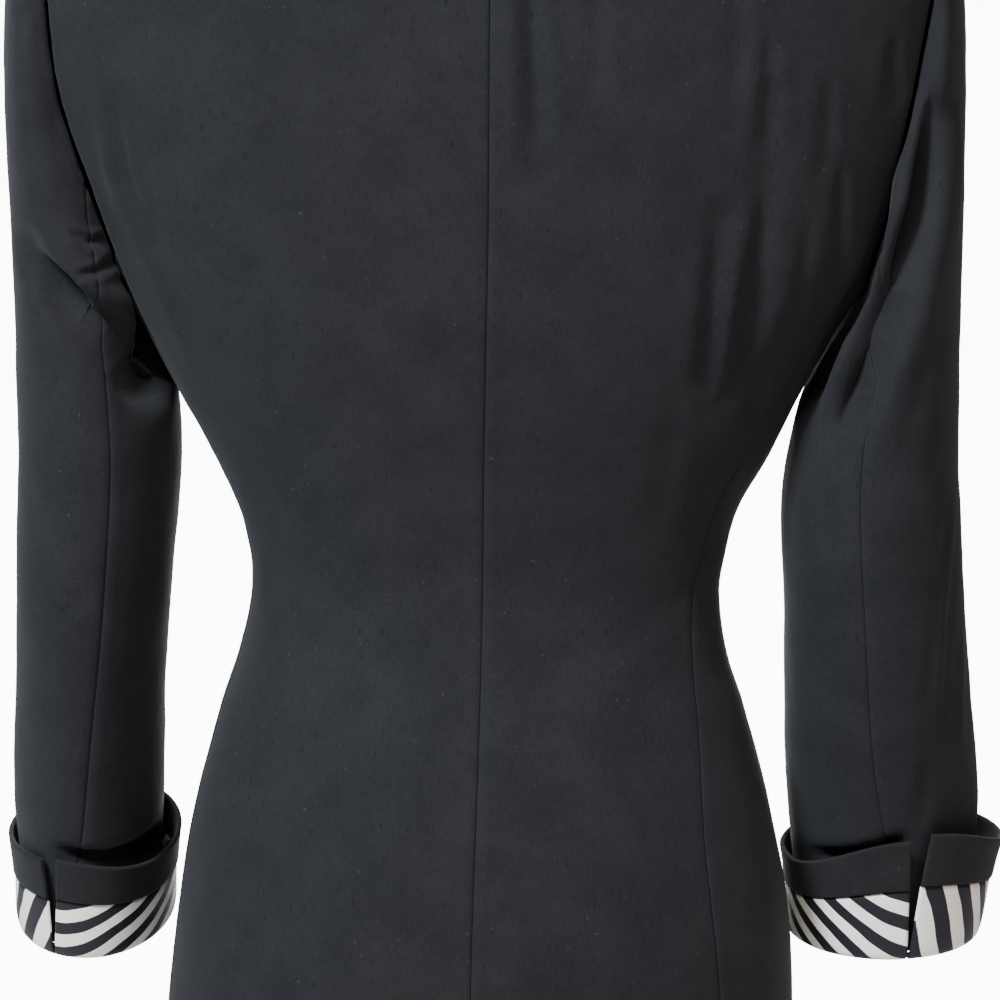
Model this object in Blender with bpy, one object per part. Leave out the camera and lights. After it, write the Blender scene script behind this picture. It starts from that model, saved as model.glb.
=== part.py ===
"""Fitted blazer with split turned-back cuffs, filled out as worn.

Metres, +Z up. The front faces -Y and the wearer's left is +X. The origin is at the neck and
shoulders, just under the collar, where the garment is held up.
"""
import math
from collections import namedtuple

import bmesh
import bpy
from mathutils import Vector

# Cloth and seams
CLOTH = 0.002
BAND_CLOTH = 0.0026
LAPEL_CLOTH = 0.0016
SEAM_GAP = 0.0003
ARMHOLE_GAP = 0.0008
SLEEVE_CLEAR = 0.0020
LAY_GAP = 0.0005
SHARP_DEGREES = 50

# Heights of the body
HEM = -0.660
UNDERARM = -0.245
ARMHOLE_NOTCH = -0.228
SIDE_TOP = -0.260
YOKE = -0.105
NECK_SIDE = 0.018
SHOULDER_TIP = -0.040

# Neck, shoulders and front
NECK_HALF = 0.075
NECK_CURVE = 2.5
TIP_LEFT = 0.2175
TIP_RIGHT = 0.2215
RIDGE = 0.0185
SQUARENESS = 2.3
SHOULDER_ROUND = 2.2
BREAK_POINT = -0.350
ROLL_BOW = 0.72
OVERLAP = 0.021
UNDERLAP_STEP = 0.0032
UNDERLAP_END = 0.030
UNDERLAP_FADE = 0.070
CUTAWAY_START = -0.520
CUTAWAY = 0.030
CUTAWAY_POWER = 1.5
HEM_CORNER = 0.040
CORNER_FADE = -0.530

# One row for each section of the body, hem to yoke. The edge columns are shares of the half width:
# they follow the side seams, and above the notch the armhole.
BODY_COLUMNS = ("height", "left", "right", "back", "front", "seam",
                "edge_back_left", "edge_back_right", "edge_front")
BODY = (
    (-0.6600, 0.1630, 0.1570, 0.1140, 0.1180, 0.0020, 0.985, 0.800, 0.800),
    (-0.6130, 0.1610, 0.1560, 0.1150, 0.1170, 0.0010, 0.985, 0.780, 0.800),
    (-0.5600, 0.1550, 0.1530, 0.1140, 0.1150, 0.0002, 0.985, 0.765, 0.800),
    (-0.5100, 0.1465, 0.1435, 0.1070, 0.1090, -0.0012, 0.985, 0.775, 0.800),
    (-0.4580, 0.1330, 0.1300, 0.0920, 0.1000, -0.0022, 0.985, 0.830, 0.800),
    (-0.4320, 0.1240, 0.1215, 0.0840, 0.0960, -0.0026, 0.985, 0.865, 0.800),
    (-0.4000, 0.1170, 0.1172, 0.0780, 0.0950, -0.0030, 0.985, 0.890, 0.800),
    (-0.3810, 0.1178, 0.1203, 0.0780, 0.0980, -0.0034, 0.985, 0.895, 0.805),
    (-0.3560, 0.1236, 0.1275, 0.0820, 0.1050, -0.0038, 0.985, 0.895, 0.815),
    (-0.3300, 0.1352, 0.1415, 0.0880, 0.1150, -0.0044, 0.985, 0.900, 0.835),
    (-0.3030, 0.1500, 0.1550, 0.0940, 0.1260, -0.0052, 0.982, 0.915, 0.870),
    (-0.2600, 0.1725, 0.1790, 0.1010, 0.1350, -0.0064, 0.972, 0.945, 0.925),
    (-0.2280, 0.1880, 0.2000, 0.1040, 0.1340, -0.0072, 0.955, 0.955, 0.945),
    (-0.1925, 0.2033, 0.2124, 0.1060, 0.1290, -0.0078, 0.942, 0.944, 0.912),
    (-0.1500, 0.2185, 0.2230, 0.1065, 0.1200, -0.0080, 0.938, 0.936, 0.895),
    (-0.1050, 0.2248, 0.2320, 0.1050, 0.1080, -0.0083, 0.936, 0.936, 0.900),
)

# One row for each ring of a sleeve, bicep to the turned edge: where its middle is, its half width
# across, its half depth, and how far it leans forward in degrees.
SLEEVE_COLUMNS = ("height", "across", "forward", "half_width", "half_depth", "lean")
SLEEVE_LEFT = (
    (-0.2900, 0.1945, 0.000, 0.0395, 0.058, 0.0),
    (-0.3300, 0.1932, 0.000, 0.0408, 0.058, 2.0),
    (-0.3900, 0.1970, -0.004, 0.0392, 0.056, 8.0),
    (-0.4500, 0.2018, -0.016, 0.0378, 0.053, 14.0),
    (-0.5050, 0.2055, -0.032, 0.0385, 0.050, 18.0),
    (-0.5450, 0.2070, -0.0460, 0.0362, 0.047, 17.0),
    (-0.5790, 0.2066, -0.0580, 0.0335, 0.046, 15.5),
)
SLEEVE_RIGHT = (
    (-0.2900, 0.1975, 0.000, 0.0380, 0.060, 0.0),
    (-0.3300, 0.1929, 0.000, 0.0424, 0.060, 2.0),
    (-0.3550, 0.1924, 0.000, 0.0446, 0.060, 4.0),
    (-0.4070, 0.1948, -0.008, 0.0454, 0.058, 10.0),
    (-0.4500, 0.1970, -0.017, 0.0470, 0.056, 12.0),
    (-0.5050, 0.2008, -0.033, 0.0487, 0.054, 9.0),
    (-0.5450, 0.2022, -0.0415, 0.0462, 0.052, 6.0),
    (-0.5800, 0.2024, -0.0465, 0.0425, 0.050, 4.0),
)

# Where the sleeve seams run, as a share of a turn from the back: one row for each height.
SEAM_COLUMNS = ("height", "left", "right")
BACK_SEAM = (
    (-0.290, -0.052, -0.030),
    (-0.400, -0.048, -0.020),
    (-0.480, -0.024, -0.012),
    (-0.520, -0.006, 0.002),
    (-0.570, 0.040, 0.026),
)
HEAD_SEAM_TURN = -0.085
FRONT_SEAM_TURN = 0.610
ROUND_SLEEVE = 0.40

# How a sleeve head leaves the armhole: out over the shoulder, out at the underarm, and toward the back
HEAD_OUT = {"left": 0.090, "right": 0.058}
HEAD_OUT_UNDER = 0.004
HEAD_OUT_BACK = 0.030
HEAD_POWER = 1.6

# The largest folds, one row for each length of a fold: its two ends, half width and depth.
Fold = namedtuple("Fold", "piece x0 z0 x1 z1 half_width depth")
FOLDS = (
    Fold("back_right", -0.142, -0.150, -0.136, -0.238, 0.0140, 0.0020),
    Fold("back_right", -0.136, -0.238, -0.127, -0.292, 0.0150, 0.0032),
    Fold("back_right", -0.118, -0.205, -0.112, -0.285, 0.0120, 0.0022),
    Fold("back_right", -0.027, -0.085, -0.032, -0.180, 0.0140, 0.0016),
    Fold("back_left", 0.170, -0.155, 0.157, -0.215, 0.0130, 0.0020),
    Fold("sleeve_left", 0.222, -0.224, 0.200, -0.258, 0.0130, 0.0060),
    Fold("sleeve_left", 0.200, -0.258, 0.166, -0.292, 0.0140, 0.0050),
    Fold("sleeve_right", -0.221, -0.160, -0.205, -0.250, 0.0120, 0.0040),
    Fold("sleeve_right", -0.205, -0.250, -0.183, -0.305, 0.0120, 0.0055),
)

# The turned-back cuff in section: one row for each point, out from the sleeve and up from its edge.
FACING_SECTION = (
    (-0.0022, -0.0024),
    (0.0030, -0.0028),
    (0.0066, -0.0010),
    (0.0080, 0.0040),
    (0.0086, 0.0140),
    (0.0092, 0.0270),
)
BAND_SECTION = (
    (0.0102, 0.0274),
    (0.0114, 0.0380),
    (0.0130, 0.0480),
)
SPLIT_TURN = {"left": 0.062, "right": 0.036}
SPLIT_HALF_TOP = 0.0042
SPLIT_HALF_FOOT = 0.0006
ROUND_CUFF = 0.29

# How the cuff's rim differs from its foot: lift of the two ends at the split, flare and shift outward
SPLIT_LIFT = {"left": (0.006, 0.008), "right": (0.017, 0.011)}
SPLIT_LIFT_REACH = 0.22
FLARE = {"left": 0.85, "right": 1.15}
RIM_SHIFT = {"left": -0.0018, "right": 0.0040}

# Collar in section over the stand, out from the neckline and up
COLLAR_STAND = (
    (-0.0026, -0.0007),
    (-0.0052, 0.0100),
    (-0.0044, 0.0190),
    (-0.0008, 0.0240),
    (0.0052, 0.0235),
)
COLLAR_FALL = (0.010, 0.018, 0.026, 0.033)
COLLAR_STATIONS = 33
COLLAR_END = -0.040
COLLAR_LIFT = 0.0022
COLLAR_FRONT_STAND = 0.15
COLLAR_STEP = 0.04
NECK_TURN = 0.62
GORGE_SLOPE = 0.45

# Lapel
LAPEL_TOP = -0.0415
LAPEL_WIDTH = 0.072
LAPEL_FOOT_WIDTH = 0.009
LAPEL_FOOT = {"left": -0.300, "right": -0.335}
LAPEL_TURN = 0.0008
LAPEL_ROLL = 0.0012
LAPEL_ROWS = 14
LAPEL_COLUMNS = 6

# Buttons
BUTTON_RADIUS = 0.010
BUTTON_THICK = 0.0036
BUTTON_BED = 0.0029
BUTTON_HEIGHTS = (-0.372, -0.462)
BUTTON_STANDOFF = 0.0006
BUTTON_STEPS = 20
SHANK_RADIUS = 0.003
SHANK_HEIGHT = 0.0012

# How many points across each piece
BACK_COLUMNS = {"left": 13, "right": 17}
FRONT_COLUMNS = 10
SIDE_COLUMNS = 9
UPPER_SLEEVE_COLUMNS = 20
UNDER_SLEEVE_COLUMNS = 12
CUFF_POINTS = 25

LINEAR_CLOTH = (0.020, 0.021, 0.024, 1.0)
LINEAR_FACING = (0.62, 0.58, 0.52, 1.0)
LINEAR_BUTTON = (0.012, 0.012, 0.013, 1.0)
CLOTH_ROUGHNESS = 0.9
FACING_ROUGHNESS = 0.5
BUTTON_ROUGHNESS = 0.35


def columns_of(table, names):
    """The table as one list for each named column, lowest row first."""
    rows = sorted(table, key=lambda row: row[0])
    return {name: [row[index] for row in rows] for index, name in enumerate(names)}


def read_column(table, name, height):
    """A smooth curve through one column, read at a height."""
    heights = table["height"]
    values = table[name]
    if height <= heights[0]:
        return values[0]
    if height >= heights[-1]:
        return values[-1]
    index = max(i for i, low in enumerate(heights) if low <= height)
    span = heights[index + 1] - heights[index]
    share = (height - heights[index]) / span

    def slope(i):
        before = max(i - 1, 0)
        after = min(i + 1, len(heights) - 1)
        return (values[after] - values[before]) / (heights[after] - heights[before]) * span

    square = share * share
    cube = square * share
    return ((2 * cube - 3 * square + 1) * values[index] + (cube - 2 * square + share) * slope(index)
            + (3 * square - 2 * cube) * values[index + 1] + (cube - square) * slope(index + 1))


def mix(low, high, share):
    return low + (high - low) * share


def ease(low, high, value):
    """0 below low and 1 above high, soft at both ends."""
    share = min(max((value - low) / (high - low), 0.0), 1.0)
    return share * share * (3 - 2 * share)


BODY_TABLE = columns_of(BODY, BODY_COLUMNS)
SLEEVE_TABLES = {"left": columns_of(SLEEVE_LEFT, SLEEVE_COLUMNS),
                 "right": columns_of(SLEEVE_RIGHT, SLEEVE_COLUMNS)}
SEAM_TABLE = columns_of(BACK_SEAM, SEAM_COLUMNS)


def sign_of(side):
    return 1.0 if side == "left" else -1.0


def ridge_height(x):
    """The height of the shoulder line over x."""
    reach = max(abs(x) - NECK_HALF, 0.0)
    tip = TIP_LEFT if x > 0 else TIP_RIGHT
    return mix(RIDGE, SHOULDER_TIP, reach / (tip - NECK_HALF))


def body_field(x, y, z):
    """Zero on the body's outer surface, rising outwards."""
    half = read_column(BODY_TABLE, "left" if x > 0 else "right", z)
    depth = read_column(BODY_TABLE, "back" if y > 0 else "front", z)
    lift = max(z - YOKE, 0.0) / (ridge_height(x) - YOKE)
    closing = 1 - lift ** SHOULDER_ROUND
    return closing * ((abs(x) / half) ** SQUARENESS - 1) + (abs(y) / depth) ** SQUARENESS


def body_normal(point):
    step = 0.00002
    x, y, z = point
    return Vector((body_field(x + step, y, z) - body_field(x - step, y, z),
                   body_field(x, y + step, z) - body_field(x, y - step, z),
                   body_field(x, y, z + step) - body_field(x, y, z - step))).normalized()


def fold_depth(piece, x, z):
    """How deep the folds of a piece are at a place seen from behind."""
    deepest = 0.0
    for fold in FOLDS:
        if fold.piece == piece:
            run_x = fold.x1 - fold.x0
            run_z = fold.z1 - fold.z0
            share = ((x - fold.x0) * run_x + (z - fold.z0) * run_z) / (run_x ** 2 + run_z ** 2)
            share = min(max(share, 0.0), 1.0)
            away = math.hypot(x - fold.x0 - run_x * share, z - fold.z0 - run_z * share)
            bell = max(1 - (away / fold.half_width) ** 2, 0.0) ** 2
            deepest = max(deepest, fold.depth * bell)
    return deepest


def body_depth(x, z, facing):
    """The body's y at x and z. Facing is +1 for the back and -1 for the front."""
    half = read_column(BODY_TABLE, "left" if x > 0 else "right", z)
    depth = read_column(BODY_TABLE, "back" if facing > 0 else "front", z)
    lift = min(max(z - YOKE, 0.0) / (ridge_height(x) - YOKE), 1.0)
    closing = max((1 - lift ** SHOULDER_ROUND) * (1 - min(abs(x) / half, 1.0) ** SQUARENESS), 0.0)
    return facing * depth * closing ** (1 / SQUARENESS)


def round_turn(share):
    """The angle whose place on the section lies at this share of the half width."""
    return math.copysign(math.asin(min(abs(share), 1.0) ** (SQUARENESS / 2)), share)


def section_point(angle, z, facing):
    """The body at a height, by the section's own angle from the middle of the back or front."""
    power = 2 / SQUARENESS
    half = read_column(BODY_TABLE, "left" if angle > 0 else "right", z)
    depth = read_column(BODY_TABLE, "back" if facing > 0 else "front", z)
    x = math.copysign(half * abs(math.sin(angle)) ** power, angle)
    y = math.copysign(depth * abs(math.cos(angle)) ** power, facing * math.cos(angle))
    return Vector((x, y, z))


def edge_share(side, z, facing):
    name = "edge_front" if facing < 0 else "edge_back_" + side
    return read_column(BODY_TABLE, name, z)


def inner_x(side, z, facing):
    """Where a back or front panel ends toward the middle."""
    sign = sign_of(side)
    if facing > 0:
        return read_column(BODY_TABLE, "seam", z) + sign * SEAM_GAP / 2
    if z < BREAK_POINT:
        away = CUTAWAY * ease(-CUTAWAY_START, -HEM, -z) ** CUTAWAY_POWER
        return sign * (away - OVERLAP)
    climb = (z - BREAK_POINT) / (NECK_SIDE - BREAK_POINT)
    return sign * mix(-OVERLAP, NECK_HALF, min(climb, 1.0) ** ROLL_BOW)


def half_over(x, z):
    """The body's half width on the side that x lies on."""
    return read_column(BODY_TABLE, "left" if x > 0 else "right", z)


def panel_point(side, share, z, facing):
    """A point of a back or front panel, from its inner edge, 0, to its outer edge, 1."""
    sign = sign_of(side)
    middle = inner_x(side, z, facing)
    inner = round_turn(middle / half_over(middle, z))
    outer = sign * round_turn(edge_share(side, z, facing))
    if z < ARMHOLE_NOTCH:
        outer -= sign * SEAM_GAP / 2 / half_over(sign, z)
    return section_point(mix(inner, outer, share), z, facing)


def top_height(x, facing):
    """The height of the neckline, and then of the shoulder seam."""
    if facing > 0 and abs(x) < NECK_HALF:
        return NECK_SIDE * (abs(x) / NECK_HALF) ** NECK_CURVE
    return ridge_height(x)


def upper_point(side, share, climb, facing):
    """A panel point between the yoke line, 0, and the top edge, 1."""
    sign = sign_of(side)
    tip = sign * (TIP_LEFT if side == "left" else TIP_RIGHT)
    low = panel_point(side, share, YOKE, facing)
    neck = inner_x(side, YOKE, facing) if facing > 0 else sign * NECK_HALF
    rise = math.sin(climb * math.pi / 2)
    x = mix(low.x, mix(neck, tip, share), rise ** 2)
    z = mix(YOKE, top_height(x, facing), rise)
    if facing < 0 and share == 0:
        x = inner_x(side, z, facing)
    y = body_depth(x, z, facing)
    return Vector((x, facing * max(abs(y), SEAM_GAP / 2), z))


def inset_for_overlap(side, point):
    """The left front runs under the right one, near the middle."""
    if side == "right" or point.y > 0:
        return 0.0
    return UNDERLAP_STEP * (1 - ease(UNDERLAP_END, UNDERLAP_FADE, point.x))


def wall(name, outer, normals, thickness, material):
    """A cloth wall from rows of outer points, thickened inwards along their normals."""
    mesh = bpy.data.meshes.new(name)
    shape = bmesh.new()
    front = [[shape.verts.new(point) for point in row] for row in outer]
    rear = [[shape.verts.new(point - normal * thickness) for point, normal in zip(points, row)]
            for points, row in zip(outer, normals)]
    for row in range(len(outer) - 1):
        for column in range(len(outer[0]) - 1):
            corners = ((row, column), (row, column + 1), (row + 1, column + 1), (row + 1, column))
            places = [outer[i][j] for i, j in corners]
            if (places[0] - places[2]).length > (places[1] - places[3]).length:
                corners = corners[1:] + corners[:1]
            for trio in (corners[:3], (corners[0], corners[2], corners[3])):
                shape.faces.new([front[i][j] for i, j in trio])
                shape.faces.new([rear[i][j] for i, j in reversed(trio)])
        for column in (0, -1):
            start = front[row][column]
            far = rear[row + 1][column]
            shape.faces.new((start, front[row + 1][column], far))
            shape.faces.new((start, far, rear[row][column]))
    for column in range(len(outer[0]) - 1):
        shape.faces.new((rear[0][column], rear[0][column + 1],
                         front[0][column + 1], front[0][column]))
        shape.faces.new((front[-1][column], front[-1][column + 1],
                         rear[-1][column + 1], rear[-1][column]))
    bmesh.ops.recalc_face_normals(shape, faces=shape.faces)
    if shape.calc_volume(signed=True) < 0:
        bmesh.ops.reverse_faces(shape, faces=shape.faces)
    shape.to_mesh(mesh)
    shape.free()
    mesh.materials.append(material)
    mesh.shade_smooth()
    mesh.set_sharp_from_angle(angle=math.radians(SHARP_DEGREES))
    piece = bpy.data.objects.new(name, mesh)
    garment.objects.link(piece)
    return piece


def spread(count, low=0.0, high=1.0):
    return [mix(low, high, index / (count - 1)) for index in range(count)]


def grid_normals(rows, side):
    """Normals of a free grid of points, by neighbours. Side +1 or -1 picks which way they face."""
    result = []
    for i, row in enumerate(rows):
        line = []
        for j in range(len(row)):
            along = row[min(j + 1, len(row) - 1)] - row[max(j - 1, 0)]
            up = rows[min(i + 1, len(rows) - 1)][j] - rows[max(i - 1, 0)][j]
            line.append(along.cross(up).normalized() * side)
        result.append(line)
    return result


def body_wall(name, rows, material):
    """A wall on the body's own surface, with the folds of the piece pressed in."""
    normals = [[body_normal(point) for point in row] for row in rows]
    folded = [[point - normal * fold_depth(name, point.x, point.z)
               for point, normal in zip(points, line)] for points, line in zip(rows, normals)]
    return wall(name, folded, normals, CLOTH, material)


LOWER_LEVELS = (HEM, -0.6400, -0.6100, -0.5700, -0.5300, -0.4900, -0.4550, -0.4250, -0.4000, -0.3750,
                -0.3500, -0.3200, -0.2900, SIDE_TOP, -0.2440, ARMHOLE_NOTCH, -0.2050, -0.1800, -0.1550,
                -0.1300, YOKE)
UPPER_CLIMBS = (0.20, 0.40, 0.58, 0.74, 0.86, 0.95, 1.0)


def corner_lift(distance):
    """How far the hem rises in the round front corner, by the distance from the front edge."""
    short = max(HEM_CORNER - distance, 0.0)
    return HEM_CORNER - math.sqrt(HEM_CORNER ** 2 - short ** 2)


def make_panel(name, side, facing, columns, material):
    """A back or a front, hem to shoulder."""
    shares = spread(columns)
    rows = []
    for z in LOWER_LEVELS:
        row = []
        for share in shares:
            level = z
            if facing < 0:
                inset = abs(panel_point(side, share, z, facing).x - inner_x(side, z, facing))
                level += corner_lift(inset) * (1 - ease(HEM, CORNER_FADE, z))
            row.append(panel_point(side, share, level, facing))
        rows.append(row)
    for climb in UPPER_CLIMBS:
        rows.append([upper_point(side, share, climb, facing) for share in shares])
    if facing < 0:
        rows = [[point - body_normal(point) * inset_for_overlap(side, point) for point in row]
                for row in rows]
    return body_wall(name, rows, material)


def underarm_height(share):
    """The side panel's top edge, from its back corner, 0, to its front corner, 1."""
    return UNDERARM + (ARMHOLE_NOTCH - UNDERARM) * (2 * share - 1) ** 2


def side_point(side, share, z):
    sign = sign_of(side)
    half = half_over(sign, z)
    back = round_turn(edge_share(side, z, 1)) + SEAM_GAP / 2 / half
    front = math.pi - round_turn(edge_share(side, z, -1)) - SEAM_GAP / 2 / half
    angle = mix(back, front, share)
    facing = 1 if angle < math.pi / 2 else -1
    local = angle if facing > 0 else math.pi - angle
    return section_point(sign * local, z, facing)


def make_side(name, side, columns, material):
    shares = spread(columns)
    rows = []
    for z in LOWER_LEVELS:
        if z <= SIDE_TOP:
            rows.append([side_point(side, share, z) for share in shares])
    rows.append([side_point(side, share, mix(SIDE_TOP, underarm_height(share), 0.5))
                 for share in shares])
    rows.append([side_point(side, share, underarm_height(share)) for share in shares])
    return body_wall(name, rows, material)


def armhole_loop(side):
    """The armhole as points: underarm, back and shoulder tip, then tip, front and underarm."""
    under_back = [side_point(side, share, underarm_height(share)) for share in spread(6, 0.5, 0.02)]
    under_front = [side_point(side, share, underarm_height(share)) for share in spread(6, 0.98, 0.5)]
    levels = [z for z in LOWER_LEVELS if z >= ARMHOLE_NOTCH]
    back = [panel_point(side, 1.0, z, 1) for z in levels]
    back += [upper_point(side, 1.0, climb, 1) for climb in UPPER_CLIMBS]
    front = [panel_point(side, 1.0, z, -1) for z in levels]
    front += [upper_point(side, 1.0, climb, -1) for climb in UPPER_CLIMBS]
    return under_back + back, list(reversed(front)) + under_front


def along(points, share):
    """A point at a share of a polyline's length."""
    lengths = [0.0]
    for before, after in zip(points, points[1:]):
        lengths.append(lengths[-1] + (after - before).length)
    goal = share * lengths[-1]
    for index in range(len(points) - 1):
        if goal <= lengths[index + 1] + 1e-12:
            part = (goal - lengths[index]) / max(lengths[index + 1] - lengths[index], 1e-12)
            return points[index].lerp(points[index + 1], part)
    return points[-1].copy()


def armhole_point(loop, turn):
    """A point of the armhole: 0.75 is the underarm, 0 the back, 0.25 the tip, 0.5 the front."""
    rising, falling = loop
    turn = turn % 1.0
    if turn >= 0.75:
        return along(rising, (turn - 0.75) * 2)
    if turn <= 0.25:
        return along(rising, (turn + 0.25) * 2)
    return along(falling, (turn - 0.25) * 2)


def ring_point(table, side, z, turn, out=0.0, up=0.0):
    """A point of a sleeve ring. Turn 0 is the back, 0.25 the outer side."""
    sign = sign_of(side)
    lean = math.radians(read_column(table, "lean", z))
    angle = turn * 2 * math.pi
    width = read_column(table, "half_width", z) + out
    depth = read_column(table, "half_depth", z) + out
    middle = Vector((sign * read_column(table, "across", z), read_column(table, "forward", z), z))
    backward = Vector((0, math.cos(lean), -math.sin(lean)))
    upward = Vector((0, math.sin(lean), math.cos(lean)))
    return (middle + Vector((sign * width * math.sin(angle), 0, 0))
            + backward * depth * math.cos(angle) + upward * up)


def cap_point(side, loop, turn, share):
    """The sleeve head, from the armhole, 0, to the bicep ring, 1."""
    sign = sign_of(side)
    table = SLEEVE_TABLES[side]
    top = table["height"][-1]
    start = armhole_point(loop, turn)
    end = ring_point(table, side, top, turn)
    height = (1 + math.sin(turn * 2 * math.pi)) / 2
    normal = body_normal(start)
    around = (armhole_point(loop, turn + 0.01) - armhole_point(loop, turn - 0.01)).normalized()
    away = normal.cross(around).normalized() * sign
    run = end - start
    leave = Vector((sign * mix(HEAD_OUT_UNDER, HEAD_OUT[side], height ** HEAD_POWER), 0, 0))
    leave += Vector((0, HEAD_OUT_BACK * math.cos(turn * 2 * math.pi), 0))
    leave += run * mix(0.8, 0.15, height)
    arrive = Vector((0, 0, -1)) * run.length * mix(0.9, 1.0, height)
    fold = (1 - leave.normalized().dot(away)) / 2
    start = start + away * ARMHOLE_GAP + normal * ARMHOLE_GAP * 1.8 * fold
    square = share * share
    cube = square * share
    point = (start * (2 * cube - 3 * square + 1) + leave * (cube - 2 * square + share)
             + end * (3 * square - 2 * cube) + arrive * (cube - square))
    point = pressed(side, point, turn, ease(0.0, 0.2, share))
    return keep_clear(side, point, mix(ARMHOLE_GAP, SLEEVE_CLEAR, ease(0.0, 0.3, share)))


def pressed(side, point, turn, strength):
    """A sleeve point with the folds on the back half pressed in."""
    table = SLEEVE_TABLES[side]
    middle = Vector((sign_of(side) * read_column(table, "across", point.z),
                     read_column(table, "forward", point.z), point.z))
    facing = ease(0.0, 0.4, math.cos(turn * 2 * math.pi))
    depth = fold_depth("sleeve_" + side, point.x, point.z) * facing * strength
    return point + (middle - point).normalized() * depth


def keep_clear(side, point, clearance):
    """Moves a sleeve point out, where it would touch the body's side."""
    sign = sign_of(side)
    half = half_over(sign, point.z)
    depth = read_column(BODY_TABLE, "back" if point.y > 0 else "front", point.z)
    fullness = max(1 - (abs(point.y) / depth) ** SQUARENESS, 0.0)
    least = half * fullness ** (1 / SQUARENESS) + clearance
    least -= max(point.z - UNDERARM, 0.0) * 3
    return Vector((sign * max(abs(point.x), least), point.y, point.z))


def sleeve_point(side, loop, turn, level):
    """A sleeve point: level 0 to 1 is the head, and past that 1 for each step down the rings."""
    if level <= 1:
        return cap_point(side, loop, turn, level)
    table = SLEEVE_TABLES[side]
    top = table["height"][-1]
    foot = table["height"][0]
    z = mix(top, foot, level - 1)
    point = pressed(side, ring_point(table, side, z, turn), turn, 1.0)
    return keep_clear(side, point, SLEEVE_CLEAR)


def back_seam_turn(side, level, table):
    if level <= 1:
        low = read_column(SEAM_TABLE, side, table["height"][-1])
        return mix(HEAD_SEAM_TURN, low, ease(0.0, 1.0, level))
    return read_column(SEAM_TABLE, side, mix(table["height"][-1], table["height"][0], level - 1))


TURN_STEP = 0.035
LEVEL_STEP = 0.06
SLEEVE_LEVELS = (0.0, 0.12, 0.26, 0.42, 0.60, 0.80, 1.0, 1.12, 1.26, 1.40, 1.55, 1.70, 1.85, 2.0)


def make_sleeve(side, upper, columns, material):
    """The upper or the under sleeve, from the armhole to the turned edge."""
    sign = sign_of(side)
    loop = armhole_loop(side)
    table = SLEEVE_TABLES[side]
    gap_turn = SEAM_GAP / ROUND_SLEEVE
    rows = []
    normals = []
    for level in SLEEVE_LEVELS:
        seam = back_seam_turn(side, level, table)
        if upper:
            turns = spread(columns, seam + gap_turn, FRONT_SEAM_TURN - gap_turn)
        else:
            turns = spread(columns, FRONT_SEAM_TURN + gap_turn, 1 + seam - gap_turn)
        row = []
        line = []
        for turn in turns:
            point = sleeve_point(side, loop, turn, level)
            around = (sleeve_point(side, loop, turn + TURN_STEP, level)
                      - sleeve_point(side, loop, turn - TURN_STEP, level))
            low = max(level - LEVEL_STEP, 0.0)
            high = min(level + LEVEL_STEP, 2.0)
            down = sleeve_point(side, loop, turn, high) - sleeve_point(side, loop, turn, low)
            normal = around.cross(down).normalized() * sign
            if level == 0:
                body = body_normal(armhole_point(loop, turn))
                down.normalize()
                onward = body.cross(around.normalized()).dot(down) * sign
                ridge = ease(-0.3, 0.3, -body.dot(down)) * ease(0.0, 0.5, onward)
                normal = normal.lerp(body, ridge).normalized()
            row.append(point)
            line.append(normal)
        rows.append(row)
        normals.append(line)
    name = ("sleeve_upper_" if upper else "sleeve_under_") + side
    return wall(name, rows, normals, CLOTH, material)


def make_cuff_piece(name, side, section, thickness, columns, material):
    """A split ring round the sleeve's end, from its section."""
    table = SLEEVE_TABLES[side]
    foot = table["height"][0]
    split = SPLIT_TURN[side]
    top = BAND_SECTION[-1][1]
    rows = []
    for out, up in section:
        share = max(up, 0.0) / top
        half_gap = mix(SPLIT_HALF_FOOT, SPLIT_HALF_TOP, share) / ROUND_CUFF
        shift = Vector((sign_of(side) * RIM_SHIFT[side] * share, 0, 0))
        row = []
        for place in spread(columns):
            turn = mix(split + half_gap, split + 1 - half_gap, place)
            outer_end, inner_end = SPLIT_LIFT[side]
            lift = outer_end * (1 - ease(0.0, SPLIT_LIFT_REACH, place))
            lift += inner_end * ease(1 - SPLIT_LIFT_REACH, 1.0, place)
            row.append(ring_point(table, side, foot, turn, out * mix(1.0, FLARE[side], share),
                                  up + lift * share) + shift)
        rows.append(row)
    return wall(name, rows, grid_normals(rows, -sign_of(side)), thickness, material)


def neckline(share):
    """The collar's seam: -1 and 1 are its two ends on the fronts, 0 the nape."""
    sign = 1 if share > 0 else -1
    place = abs(share)
    if place <= NECK_TURN:
        x = sign * NECK_HALF * math.sin(place / NECK_TURN * math.pi / 2)
        z = top_height(x, 1)
        return Vector((x, body_depth(x, z, 1), z))
    z = mix(NECK_SIDE, COLLAR_END, (place - NECK_TURN) / (1 - NECK_TURN))
    x = sign * abs(inner_x("left", z, -1))
    return Vector((x, body_depth(x, z, -1), z))


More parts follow.
